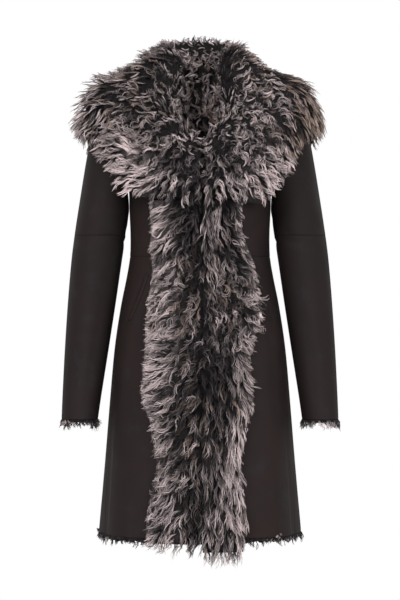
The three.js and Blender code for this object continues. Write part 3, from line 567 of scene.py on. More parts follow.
COLLAR_ALONG = np.concatenate([[0, 0.5, 1], np.linspace(2, 5, 9)])
COLLAR_START = 0.2


def cape_point(angle, rise):
    """The form that the collar falls on, close to the body at the neck and clear of the sleeve heads."""
    return on_section(read_rows(BODY_COLUMNS, CAPE_ROWS, rise), angle)


def neckline_stations(side):
    """Angles and rises where the collar is sewn: up the front edges, over the shoulders and round the neck."""
    rises = np.concatenate([HOLE_RISES[12::3], np.linspace(SHOULDER_TIP, NECK, 5)[1:]])
    angle = front_edge(side, rises)
    angle[0] += COLLAR_START * (angle[1] - angle[0])
    rises[0] += COLLAR_START * (rises[1] - rises[0])
    half = front_edge(side, NECK) * 0.6 + side_edge(np.float64(NECK), -1) * 0.4
    back = np.linspace(side_edge(np.float64(NECK), 1), back_edge(np.float64(NECK)), 9)
    return np.concatenate([angle, [half], back]), np.concatenate([rises, np.full(10, NECK)])


def evened(values):
    """Each station's value averaged with its neighbours', its own counted twice."""
    padded = np.concatenate([values[:1], values, values[-1:]])
    return unit(padded[:-2] + 2 * padded[1:-1] + padded[2:])


def beside_closure(point, side, margin):
    """Wool that would cross the closure is pressed together over a margin: x = nearest + m exp((d - m) / m)."""
    nearest = np.where(point[..., 1] < 0, side * CLOSURE + SEAM_GAP, SEAM_GAP / 2)
    inside = point[..., 0] - nearest
    safe = np.maximum(margin, 1e-6)
    pressed = nearest + safe * np.exp(np.minimum((inside - safe) / safe, 0))
    x = np.where((margin > 0) & (inside < margin), pressed, point[..., 0])
    point[..., 0] = np.maximum(x, nearest)
    return point * (side, 1, 1)


def collar_surfaces(side):
    """The collar's skin and the reach of its wool, each station's 12 points from the seam to the edge."""
    angle, rise = neckline_stations(side)
    station = np.arange(len(angle)) * COLLAR_ROWS[-1][0] / (len(angle) - 1)
    row = read_rows(COLLAR_COLUMNS, COLLAR_ROWS, station)
    seam = body_point(angle, rise)
    level = outward(body_point, angle, rise) * (1, 1, 0)
    ahead = np.minimum(np.arange(len(angle)) + 1, len(angle) - 1)
    behind = np.maximum(np.arange(len(angle)) - 1, 0)
    level = unit(level)
    way, up = evened(level), evened(unit(np.cross(level, seam[ahead] - seam[behind])))
    stand = row["stand"][:, None]
    skin = [seam + up * ARMHOLE_GAP, seam + up * (ARMHOLE_GAP + stand * 0.6), seam + way * 2.2 + up * stand]
    leaning = [up * 0.25 - way, up * 0.5 - way * 0.9, up - way * 0.25]
    edge_rise = row["edge_rise"] - (row["drop"] if side > 0 else 0)
    edge_angle = np.radians(row["edge_angle"])
    edge_angle[0] = angle_at_x(side * CLOSURE + SEAM_GAP / 2, rise[:1])[0]
    for t in np.linspace(0, 1, 9):
        eased = t + 0.04 * (1 - t)
        fall_angle, fall_rise = angle + (edge_angle - angle) * eased, rise + (edge_rise - rise) * eased
        point, facing = cape_point(fall_angle, fall_rise), outward(cape_point, fall_angle, fall_rise)
        if t == 0:
            point, facing = point + up * stand * 0.35, facing + up * 0.7
        skin.append(point)
        leaning.append(facing)
    skin, leaning = np.stack(skin, axis=1), unit(np.stack(leaning, axis=1))
    length = smooth_along(*zip(*COLLAR_WOOL), COLLAR_ALONG)[None, :] * row["loft"][:, None]
    wool = skin + leaning * length[..., None]
    wool[:, -1, 2] -= row["overhang"]
    margin = np.where((np.arange(12)[None, :] < 2) | (wool[..., 1] > 0), 0, 9)
    return beside_closure(skin, side, np.zeros(margin.shape)), beside_closure(wool, side, margin)


def refined(grid, rows, columns):
    """A grid of points read smoothly at more rows and columns."""
    grid = smooth_along(np.arange(len(grid)), grid, np.linspace(0, len(grid) - 1, rows))
    turned = smooth_along(np.arange(grid.shape[1]), grid.swapaxes(0, 1), np.linspace(0, grid.shape[1] - 1, columns))
    return turned.swapaxes(0, 1)


def on_grid(grid, row, column):
    """Points of a grid at fractional rows and columns, blended between the four corners of each cell."""
    r = np.clip(row.astype(int), 0, grid.shape[0] - 2)
    c = np.clip(column.astype(int), 0, grid.shape[1] - 2)
    a, b = (row - r)[:, None], (column - c)[:, None]
    near = grid[r, c] * (1 - b) + grid[r, c + 1] * b
    far = grid[r + 1, c] * (1 - b) + grid[r + 1, c + 1] * b
    return near * (1 - a) + far * a


def scattered_over(grid, count, evenness, share=1.0):
    """Rows and columns of count places over a grid, by the additive recurrence of the plastic number p: the n-th
    place is (n / p, n / p^2) without its whole part, stretched by each cell's area^evenness, more at the front."""
    plastic = 1.32471795724475
    n = np.arange(1, count + 1)
    first, second = (0.5 + n / plastic) % 1, (0.5 + n / plastic**2) % 1
    edge_a, edge_b = grid[1:, :-1] - grid[:-1, :-1], grid[:-1, 1:] - grid[:-1, :-1]
    area = np.linalg.norm(np.cross(edge_a, edge_b), axis=-1) ** evenness
    area *= np.broadcast_to(share, grid.shape[:2])[1:, 1:]
    by_row = np.concatenate([[0], np.cumsum(area.sum(axis=1))])
    row = np.interp(first * by_row[-1], by_row, np.arange(len(by_row)))
    whole = np.minimum(row.astype(int), len(area) - 1)
    by_column = np.cumsum(area, axis=1) / area.sum(axis=1, keepdims=True)
    by_column = np.concatenate([np.zeros((len(area), 1)), by_column], axis=1)
    ladder = (by_column + np.arange(len(area))[:, None]).ravel()
    column = np.interp(whole + second, ladder, np.arange(ladder.size)) - whole * by_column.shape[1]
    return row, np.clip(column, 0, area.shape[1])


def combed(columns, rows, first, second, scale):
    """A comb's settings at any place: its rows averaged by 1 / distance^4, distances measured in units of scale."""
    rows = np.array(rows, float)
    far = ((first[:, None] - rows[:, 0]) / scale[0]) ** 2 + ((second[:, None] - rows[:, 1]) / scale[1]) ** 2
    share = 1 / (far + 0.02) ** 2
    values = share @ rows / share.sum(axis=1, keepdims=True)
    return dict(zip(columns, values.T))


STRAND_PLACES = np.array([0, 0.3, 0.47, 0.63, 0.77, 0.9, 1.0])  # rings from the root, closest where it shows, and the tip
STRAND_CORNERS = 3
STRAND_RINGS = len(STRAND_PLACES) - 1


def grow_locks(root, normal, flow, comb, strands, seed):
    """Curly locks. A lock's middle leaves the skin steeply and bends over into the flow, at its lift: the angle
    is lift + (leaving - lift) (1 - s)^2.2. Round the middle runs a flat curl, side r cos t and along r sin t, that
    widens to its radius r, and the lock's strands start apart and gather a little. A strand is a tapering tube
    of three sides. Returns every strand's points, its root first and its tip last."""
    rng = np.random.default_rng(seed)
    locks = len(root)
    s = STRAND_PLACES
    flow = unit(flow - normal * np.sum(flow * normal, axis=-1, keepdims=True))
    tuft = comb["tuft"].astype(int)
    tufts = tuft.max() + 1
    stray = np.radians(comb["stray"]) * (rng.normal(0, 0.55, tufts)[tuft] + rng.normal(0, 0.25, locks))
    flow = flow * np.cos(stray)[:, None] + np.cross(flow, normal) * np.sin(stray)[:, None]
    side = np.cross(flow, normal)
    length = np.minimum(comb["length"] * rng.uniform(0.8, 1.15, locks), comb["room"] * rng.uniform(0.8, 1.1, locks))
    lift = np.radians(comb["lift"] * rng.uniform(0.5, 1.5, tufts)[tuft])[:, None]
    angle = lift + (np.radians(comb["leaving"])[:, None] - lift) * (1 - s[None, :]) ** 2.2
    way = np.cos(angle)[..., None] * flow[:, None] + np.sin(angle)[..., None] * normal[:, None]
    way[..., 2] -= comb["droop"][:, None] * s
    way = unit(way)
    step = (way[:, 1:] + way[:, :-1]) / 2 * (np.diff(s) * length[:, None])[..., None]
    middle = np.cumsum(np.concatenate([np.zeros((locks, 1, 3)), step], axis=1), axis=1)
    across = unit(np.cross(side[:, None], way))
    hand = np.where(rng.random(tufts) < 0.5, -1.0, 1.0)[tuft]
    phase, slant = rng.uniform(0, 2 * np.pi, (2, tufts))[:, tuft] + rng.normal(0, TUFT_TURN, (2, locks))

    def each(values):
        return np.repeat(values, strands, axis=0)

    total = locks * strands
    turn = each(hand * comb["turns"])[:, None] * 2 * np.pi * s
    turn = turn + (each(phase) + rng.normal(0, OWN_TURN, total))[:, None]
    short = np.minimum(each(length) / 26, 1)
    swell = (each(comb["curl"]) * short * rng.uniform(0.6, 1.3, total))[:, None] * np.minimum(s * 1.6, 1)
    spread = each(comb["spread"]) * np.sqrt(rng.random(total))
    bearing = rng.uniform(0, 2 * np.pi, total)
    gather = 1 - each(comb["gather"])[:, None] * s
    frizz = each(comb["frizz"])[:, None] * s * np.sin(2 * np.pi * (1.6 * s + rng.random((total, 1))))
    wide = swell * np.cos(turn) + (spread * np.cos(bearing))[:, None] * gather + frizz
    high = swell * np.sin(turn + each(slant)[:, None]) * 0.45 + frizz * rng.uniform(-1, 1, (total, 1))
    forward = swell * np.sin(turn) * 0.85 + (spread * np.sin(bearing))[:, None] * gather
    path = each(root)[:, None] + each(middle) * rng.uniform(0.72, 1.06, (total, 1, 1))
    path += each(side)[:, None] * wide[..., None] + each(across) * high[..., None]
    path += each(way) * forward[..., None]
    tangent = unit(np.gradient(path, s, axis=1))
    first = unit(np.cross(each(side)[:, None], tangent))
    second = np.cross(tangent, first)
    thickness = each(comb["thickness"]) * rng.uniform(0.7, 1.3, total)
    girth = thickness[:, None] * (1 - 0.6 * s[:-1] ** 1.6)
    corner = 2 * np.pi * np.arange(STRAND_CORNERS) / STRAND_CORNERS
    ring = first[:, :-1, None] * np.cos(corner)[:, None] + second[:, :-1, None] * np.sin(corner)[:, None]
    tube = path[:, :-1, None] + ring * girth[..., None, None]
    return np.concatenate([tube.reshape(total, -1, 3), path[:, -1:]], axis=1)


def strand_faces():
    """The triangles of one strand: its root, its sides and its tip, all facing outwards."""
    c = np.arange(STRAND_CORNERS)
    ahead = (c + 1) % STRAND_CORNERS
    low = (np.arange(STRAND_RINGS - 1) * STRAND_CORNERS)[:, None]
    up = low + STRAND_CORNERS
    sides = [np.stack([low + c, low + ahead, up + ahead], axis=-1), np.stack([low + c, up + ahead, up + c], axis=-1)]
    last = (STRAND_RINGS - 1) * STRAND_CORNERS
    tip = np.stack([last + c, last + ahead, np.full(STRAND_CORNERS, last + STRAND_CORNERS)], axis=-1)
    return np.concatenate([[[0, 2, 1]], sides[0].reshape(-1, 3), sides[1].reshape(-1, 3), tip])


def strand_piece(name, points, shade, finish):
    """One mesh of many strands. Its UV map holds each strand's shade across and the place along it upwards."""
    strands, each = points.shape[:2]
    faces = (strand_faces()[None] + (np.arange(strands) * each)[:, None, None]).reshape(-1, 3)
    mesh = bpy.data.meshes.new(name)
    mesh.vertices.add(strands * each)
    mesh.vertices.foreach_set("co", (points * MM).ravel())
    mesh.loops.add(faces.size)
    mesh.loops.foreach_set("vertex_index", faces.ravel().astype(np.int32))
    mesh.polygons.add(len(faces))
    mesh.polygons.foreach_set("loop_start", np.arange(0, faces.size, 3, dtype=np.int32))
    mesh.polygons.foreach_set("use_smooth", np.ones(len(faces), bool))
    mesh.update(calc_edges=True)
    sideways = np.array([-1, 0, 1] * STRAND_RINGS + [0]) * SHADE_WIDTH
    u = np.clip(shade, 2 * SHADE_WIDTH, 1 - 2 * SHADE_WIDTH)[:, None] + sideways
    v = np.append(np.repeat(STRAND_PLACES[:-1], STRAND_CORNERS), 1.0)
    uv = np.stack([u, np.broadcast_to(np.clip(v, 0.004, 0.996), u.shape)], axis=-1).reshape(-1, 2)
    shade_map = mesh.uv_layers.new(name="OFBake")
    shade_map.data.foreach_set("uv", uv[faces.ravel()].ravel())
    mesh.materials.append(finish)
    piece = bpy.data.objects.new(name, mesh)
    bpy.context.collection.objects.link(piece)
    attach(piece, "root")
    return piece


SHADE_WIDTH = 0.0015  # half the width of a strand's band in the UV map
GREY_SHARE = 0.5  # shades below this are grey, from dark to pale, and above it brown, from dark to pale
ROOT_BLACK = (0.0065, 0.0049, 0.0053)
GREY_DARK = (0.022, 0.0165, 0.0185)
GREY_PALE = (0.87, 0.725, 0.722)
BROWN_DARK = (0.030, 0.019, 0.016)
BROWN_PALE = (0.52, 0.39, 0.335)


def lock_finish():
    """Lambswool: black at the root, turning part way along into the strand's own shade, sooner where it is pale."""
    wool = Finish("frosted lambswool", Roughness=0.6, Specular_IOR_Level=0.3)
    uv = wool.node("ShaderNodeUVMap", {"uv_map": "OFBake"})
    shade = wool.node("ShaderNodeSeparateXYZ", None, {0: uv})
    along = Wire(wool, shade.socket.node.outputs[1])
    brown = wool.node("ShaderNodeMath", {"operation": "GREATER_THAN"}, {0: shade, 1: GREY_SHARE})
    paleness = (shade - brown * GREY_SHARE) * (1 / GREY_SHARE)
    curve = paleness**1.5
    grey_tip, brown_tip = wool.blend(curve, GREY_DARK, GREY_PALE), wool.blend(curve, BROWN_DARK, BROWN_PALE)
    turned = wool.between(along + paleness * 0.22, 0.36, 0.92)
    wool.feed("Base Color", wool.blend(turned, ROOT_BLACK, wool.blend(brown, grey_tip, brown_tip)))
    return wool.material


def undercoat_finish():
    """The dense wool under the locks: dark, with thin greyish fibres along the level lines of two noises, and as
    pale as the locks above it, which the mesh's attribute tells."""
    wool = Finish("undercoat", Roughness=0.8, Specular_IOR_Level=0.15)
    place = wool.node("ShaderNodeTexCoord", output="Object")
    fibres = 0.0
    for scale, width, share in ((95, 0.022, 1.0), (210, 0.035, 0.7)):
        values = {"Vector": place, "Scale": scale, "Detail": 2.0, "Distortion": 1.6}
        level = wool.node("ShaderNodeTexNoise", None, values) - 0.5
        distance = wool.node("ShaderNodeMath", {"operation": "ABSOLUTE"}, {0: level})
        fibres = fibres + (1 - wool.between(distance, 0, width)) * share
    patches = wool.between(wool.noise(34, 3, place), 0.35, 0.7)
    shade = wool.node("ShaderNodeMath", {"operation": "MINIMUM"}, {0: fibres * (0.25 + patches * 0.6), 1: 1.0})
    paleness = wool.node("ShaderNodeAttribute", {"attribute_name": "paleness"}, output=2)
    between = wool.blend(paleness**5.0, (0.004, 0.0031, 0.0034), (0.12, 0.10, 0.10))
    fibre = wool.blend(paleness**4.0, (0.07, 0.058, 0.060), (0.62, 0.515, 0.52))
    wool.feed("Base Color", wool.blend(shade, between, fibre))
    wool.feed("Normal", wool.node("ShaderNodeBump", None, {"Strength": 0.8, "Distance": 0.003, "Height": fibres}))
    return wool.material


LEAVING = 62.0  # degrees from the skin at which every lock leaves it
TUFT_PULL = 0.3  # how far each lock's root is drawn to the middle of its tuft
TUFT_TURN = 0.6  # how far a lock's curl strays from its tuft's, in radians
OWN_TURN = 0.45  # and a strand's from its lock's
ROOT_DEPTH = 0.28  # where the locks start, between the skin and the reach of the wool
UNDERCOAT_DEPTH = 0.46
FRONT_ENDS, FOLD_TOP = 10.0, 14.0  # past this y the wool is at the back, and above this height on the fold
BACK_THICKER = 1.35  # the fewer strands at the back are thicker
PARTING_STEP = 52.0  # mm from one dark parting of a strip's locks to the next
PAINTED_PARTING_SHADE = {"right": 0.4, "left": 0.3}  # how much darker the locks are painted along the partings: painted shade between the flows of locks
LOCK_COLUMNS = ("first", "second", "onward", "edgeward", "length", "lift", "curl", "turns", "stray", "pale", "brown")


def strand_shades(comb, strands, rng):
    """Each strand's place in the UV map: a shade round its lock's own, in the grey half or the brown half."""
    tuft = comb["tuft"].astype(int)
    lock_shade = comb["pale"] + rng.normal(0, 0.19, tuft.max() + 1)[tuft] + rng.normal(0, 0.08, len(tuft))
    pale = np.clip(np.repeat(lock_shade, strands) + rng.normal(0, 0.17, len(lock_shade) * strands), 0.02, 0.98)
    brown = np.repeat(rng.random(len(lock_shade)) < comb["brown"], strands)
    return np.where(brown, GREY_SHARE + 0.01 + pale * 0.48, pale * 0.48)


def wool_on(name, skin, wool, comb_rows, first, second, scale, plan, seed):
    """Long wool between two grids, the skin and the wool's reach: a dense undercoat, and locks combed by a short
    table. first and second are the comb's two coordinates along the grids' rows and columns. Onward is the way
    of the rows and edgeward that of the columns. The last part of the columns bears no roots, only tips."""
    rows, columns = skin.shape[:2]
    thin = plan["coat_depth"] * (1 - np.linspace(0, 1, columns) ** plan["thin_from"] * 0.85)
    uneven = np.sin(np.arange(rows)[:, None] * 1.1 + np.arange(columns) * 0.8)
    uneven = uneven + np.sin(np.arange(rows)[:, None] * 2.3 - np.arange(columns) * 1.7 + 0.9)
    depth = thin[None, :] + 0.06 * uneven
    coat_outer, coat_inner = skin + (wool - skin) * depth[..., None], skin.copy()
    if plan["joined_end"]:
        coat_outer[-1, :, 0] = coat_inner[-1, :, 0] = 0
    shown = slice(0, columns - plan["coat_short"])
    coat = wall_piece(f"{name}_undercoat", coat_outer[:, shown], coat_inner[:, shown], [undercoat])
    on_coat = np.meshgrid(first, second[shown], indexing="ij")
    pale = combed(LOCK_COLUMNS, comb_rows, on_coat[0].ravel(), on_coat[1].ravel(), scale)["pale"]
    coat.data.attributes.new("paleness", "FLOAT", "POINT").data.foreach_set("value", np.tile(pale, 2))
    root_rows, root_columns = (int(round(share * n)) for share, n in zip(plan["roots"], (rows, columns)))
    between = (skin + wool)[:root_rows, :root_columns] / 2
    share = np.where(between[..., 1] < FRONT_ENDS, plan["front_share"], 1.0)
    share = share * np.where(between[..., 2] > FOLD_TOP, plan["top_share"], 1.0)
    row, column = scattered_over(between, plan["locks"], plan["evenness"], share)
    places = np.interp(row, np.arange(rows), first), np.interp(column, np.arange(columns), second)
    comb = combed(LOCK_COLUMNS, comb_rows, *places, scale)
    comb |= {key: np.full(len(row), plan[key]) for key in ("spread", "gather", "frizz", "thickness", "droop")}
    comb["thickness"] *= np.where(on_grid(between, row, column)[:, 1] < FRONT_ENDS, 1.0, BACK_THICKER)
    comb["leaving"] = np.full(len(row), LEAVING)
    # Painted shade: the locks' shades are darkened in wavy bands where the partings between flows of locks lie.
    parting_band = np.sin(places[1] / PARTING_STEP * 2 * np.pi + 2.2 * np.sin(places[1] / 37) + 2.5 * places[0])
    comb["pale"] -= plan["partings"] * np.clip(parting_band, 0, 1) ** 2
    base, reach = on_grid(skin, row, column), on_grid(wool, row, column)
    ahead, behind = np.minimum(row + 1, rows - 1), np.maximum(row - 1, 0)
    onward = unit(on_grid(skin, ahead, column) - on_grid(skin, behind, column))
    ahead, behind = np.minimum(column + 1, columns - 1), np.maximum(column - 1, 0)
    edgeward = unit(on_grid(skin, row, ahead) - on_grid(skin, row, behind))
    flow = onward * comb["onward"][:, None] + edgeward * comb["edgeward"][:, None]
    left_in_row = np.linalg.norm(on_grid(skin, row, np.full(len(row), columns - 1.0)) - base, axis=-1)
    left_in_column = np.linalg.norm(on_grid(skin, np.full(len(row), rows - 1.0), column) - base, axis=-1)
    past_end = np.interp(row, np.arange(rows), np.broadcast_to(plan["past_end"], rows))
    room = (left_in_row + past_end) / np.maximum(comb["edgeward"], 0.25)
    if plan["past_side"] is not None:
        room = np.minimum(room, (left_in_column + plan["past_side"]) / np.maximum(comb["onward"], 0.25))
    comb["room"] = room
    centre = on_grid(skin, *scattered_over(between, plan["tufts"], plan["evenness"]))
    comb["tuft"] = np.argmin(np.linalg.norm(base[:, None] - centre[None], axis=-1), axis=1)
    pull = (centre[comb["tuft"]] - base) * TUFT_PULL
    base, flow = base + pull, flow + pull * 0.06
    points = grow_locks(base + (reach - base) * ROOT_DEPTH, unit(reach - base), flow, comb, plan["strands"], seed)
    shade = strand_shades(comb, plan["strands"], np.random.default_rng(seed + 100))
    pieces = [coat]
    at_front = np.repeat(base[:, 1] < plan["front_ends"], plan["strands"])
    for part, chosen in (("front", at_front), ("back", ~at_front)):
        if chosen.any():
            pieces.append(strand_piece(f"{name}_{part}_locks", points[chosen], shade[chosen], lambswool))
    return pieces


lambswool, undercoat = lock_finish(), undercoat_finish()
COLLAR_COMB = {  # by station and by the place from the seam to the edge
    "right": [
        (1, 0.3, 0.0, -1.0, 54, 50, 4.0, 1.3, 45, 0.66, 0.0),
        (4, 0.3, 0.0, -1.0, 56, 50, 4.0, 1.3, 45, 0.66, 0.0),
        (7, 0.3, 0.0, -1.0, 50, 45, 4.0, 1.3, 45, 0.62, 0.05),
        (13, 0.3, 0.0, -1.0, 34, 20, 4.4, 1.3, 50, 0.54, 0.05),
        (14, 0.9, 0.0, 0.4, 22, 45, 3.4, 1.2, 90, 0.36, 0.0),
        (19.5, 0.9, 0.0, 0.4, 22, 45, 3.4, 1.2, 90, 0.36, 0.0),
        (19, 0.3, 0.0, -1.0, 34, 18, 4.4, 1.3, 50, 0.52, 0.05),
        (0, 1.3, -0.2, 1.0, 28, 18, 4.8, 1.3, 75, 0.48, 0.0),
        (5, 1.3, 0.2, 0.8, 27, 18, 4.8, 1.3, 80, 0.50, 0.1),
        (11, 1.3, 0.0, 1.0, 25, 14, 4.6, 1.3, 60, 0.40, 0.1),
        (19, 1.3, 0.0, 1.0, 25, 12, 4.4, 1.3, 60, 0.36, 0.1),
        (0.8, 3, -0.1, 1.0, 34, 22, 4.0, 1.3, 50, 0.12, 0.0),
        (5, 2.6, 0.4, 0.9, 32, 20, 4.8, 1.4, 75, 0.48, 0.1),
        (9, 2.6, 0.3, 1.0, 34, 34, 4.8, 1.4, 75, 0.42, 0.25),
        (13, 2.6, 0.1, 1.0, 34, 34, 4.2, 1.4, 60, 0.40, 0.4),
        (0.5, 4.8, 0.1, 1.0, 38, 16, 3.2, 1.3, 30, 0.14, 0.0),
        (1.7, 4.4, 0.3, 0.95, 38, 16, 3.2, 1.3, 30, 0.22, 0.0),
        (3.6, 4.4, 0.95, 0.35, 44, 14, 2.8, 1.3, 30, 0.95, 0.0),
        (6, 4.0, 0.90, 0.50, 42, 15, 3.0, 1.4, 32, 0.94, 0.0),
        (8, 4.6, 0.70, 0.80, 38, 24, 3.0, 1.3, 28, 0.62, 0.1),
        (11, 4.4, 0.10, 1.0, 42, 34, 3.4, 1.2, 36, 0.46, 0.2),
        (12, 3.6, 0.10, 1.0, 40, 38, 3.6, 1.2, 40, 0.42, 0.4),
        (15, 4.4, 0.0, 1.0, 40, 16, 3.2, 1.3, 32, 0.72, 0.2),
        (20, 4.4, 0.0, 1.0, 40, 16, 3.2, 1.3, 34, 0.84, 0.0),
        (18, 2.6, 0.0, 1.0, 36, 20, 4.6, 1.4, 60, 0.70, 0.1),
    ],
    "left": [
        (1, 0.3, 0.0, -1.0, 54, 50, 4.0, 1.3, 45, 0.66, 0.0),
        (4, 0.3, 0.0, -1.0, 56, 50, 4.0, 1.3, 45, 0.66, 0.0),
        (7, 0.3, 0.0, -1.0, 50, 45, 4.0, 1.3, 45, 0.62, 0.05),
        (13, 0.3, 0.0, -1.0, 34, 20, 4.4, 1.3, 50, 0.46, 0.05),
        (14, 0.9, 0.0, 0.4, 22, 45, 3.4, 1.2, 90, 0.36, 0.0),
        (19.5, 0.9, 0.0, 0.4, 22, 45, 3.4, 1.2, 90, 0.36, 0.0),
        (19, 0.3, 0.0, -1.0, 34, 18, 4.4, 1.3, 50, 0.50, 0.05),
        (0, 1.3, -0.2, 1.0, 28, 18, 4.8, 1.3, 75, 0.44, 0.0),
        (5, 1.3, 0.2, 0.8, 27, 18, 4.8, 1.3, 80, 0.52, 0.05),
        (10, 1.1, 0.0, 1.0, 34, 12, 1.6, 0.6, 16, 0.14, 0.0),
        (12.5, 1.4, 0.0, 1.0, 25, 14, 4.4, 1.3, 60, 0.40, 0.35),
        (19, 1.3, 0.0, 1.0, 25, 12, 4.4, 1.3, 60, 0.36, 0.1),
        (0.8, 3, -0.1, 1.0, 34, 22, 4.0, 1.3, 50, 0.20, 0.0),
        (5, 2.8, 0.3, 0.9, 30, 22, 5.0, 1.4, 85, 0.50, 0.0),
        (8, 2.2, 0.3, 0.9, 28, 22, 5.0, 1.4, 85, 0.52, 0.0),
        (9, 3.0, 0.3, 1.0, 30, 20, 5.0, 1.4, 85, 0.44, 0.1),
        (12, 2.5, 0.1, 1.0, 26, 16, 3.4, 1.4, 60, 0.50, 0.75),
        (0.7, 4.6, 0.1, 1.0, 40, 16, 3.2, 1.2, 30, 0.24, 0.0),
        (4, 4.4, 0.45, 0.85, 42, 15, 3.0, 1.3, 32, 0.74, 0.0),
        (7, 4.4, 0.35, 0.9, 38, 15, 3.2, 1.4, 38, 0.70, 0.0),
        (10, 4.3, 0.0, 1.0, 44, 10, 1.3, 0.8, 12, 0.56, 1.0),
        (13, 4.3, 0.0, 1.0, 42, 10, 1.3, 0.8, 12, 0.52, 1.0),
        (11.5, 3.4, 0.0, 1.0, 40, 12, 1.8, 0.8, 20, 0.48, 0.95),
        (16, 4.4, 0.0, 1.0, 40, 16, 3.2, 1.2, 32, 0.72, 0.3),
        (20, 4.4, 0.0, 1.0, 40, 16, 3.2, 1.3, 34, 0.84, 0.0),
        (18, 2.6, 0.0, 1.0, 36, 20, 4.6, 1.4, 60, 0.70, 0.1),
    ],
}
COLLAR_LOCKS = {
    "locks": 1590, "strands": 4, "spread": 2.6, "gather": 0.3, "frizz": 0.9, "thickness": 0.82, "droop": 0.25,
    "roots": (1.0, 0.96), "thin_from": 6, "evenness": 0.5, "past_side": None, "tufts": 560,
    "partings": 0.0, "joined_end": True, "coat_short": 0, "front_share": 1.4, "front_ends": 0, "top_share": 2.0,
}
PAST_EDGE = {  # how far the locks hang past the skin's edge, by station
    "right": [(0, 29), (1.5, 22), (3, 11), (5, 5), (8, 6), (11, 11), (14, 10), (21, 13)],
    "left": [(0, 29), (1.5, 22), (3, 11), (5, 4), (10, 3), (14, 8), (21, 13)],
}
for number, (side_name, side) in enumerate(SIDES.items()):
    skin, wool = (refined(grid, 72, 40) for grid in collar_surfaces(side))
    station = np.linspace(0, COLLAR_ROWS[-1][0], 72)
    along = np.interp(np.linspace(0, 11, 40), np.arange(12), COLLAR_ALONG)
    name = f"collar_{side_name}"
    coat_depth = UNDERCOAT_DEPTH + 0.2 * np.exp(-(((along - 0.8) / 0.6) ** 2))
    past_edge = np.interp(station, *zip(*PAST_EDGE[side_name]))
    plan = COLLAR_LOCKS | {"past_end": past_edge, "coat_depth": coat_depth}
    pieces = wool_on(name, skin, wool, COLLAR_COMB[side_name], station, along, (6.0, 1.6), plan, 11 + number)
    for piece in pieces:
        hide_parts(name)

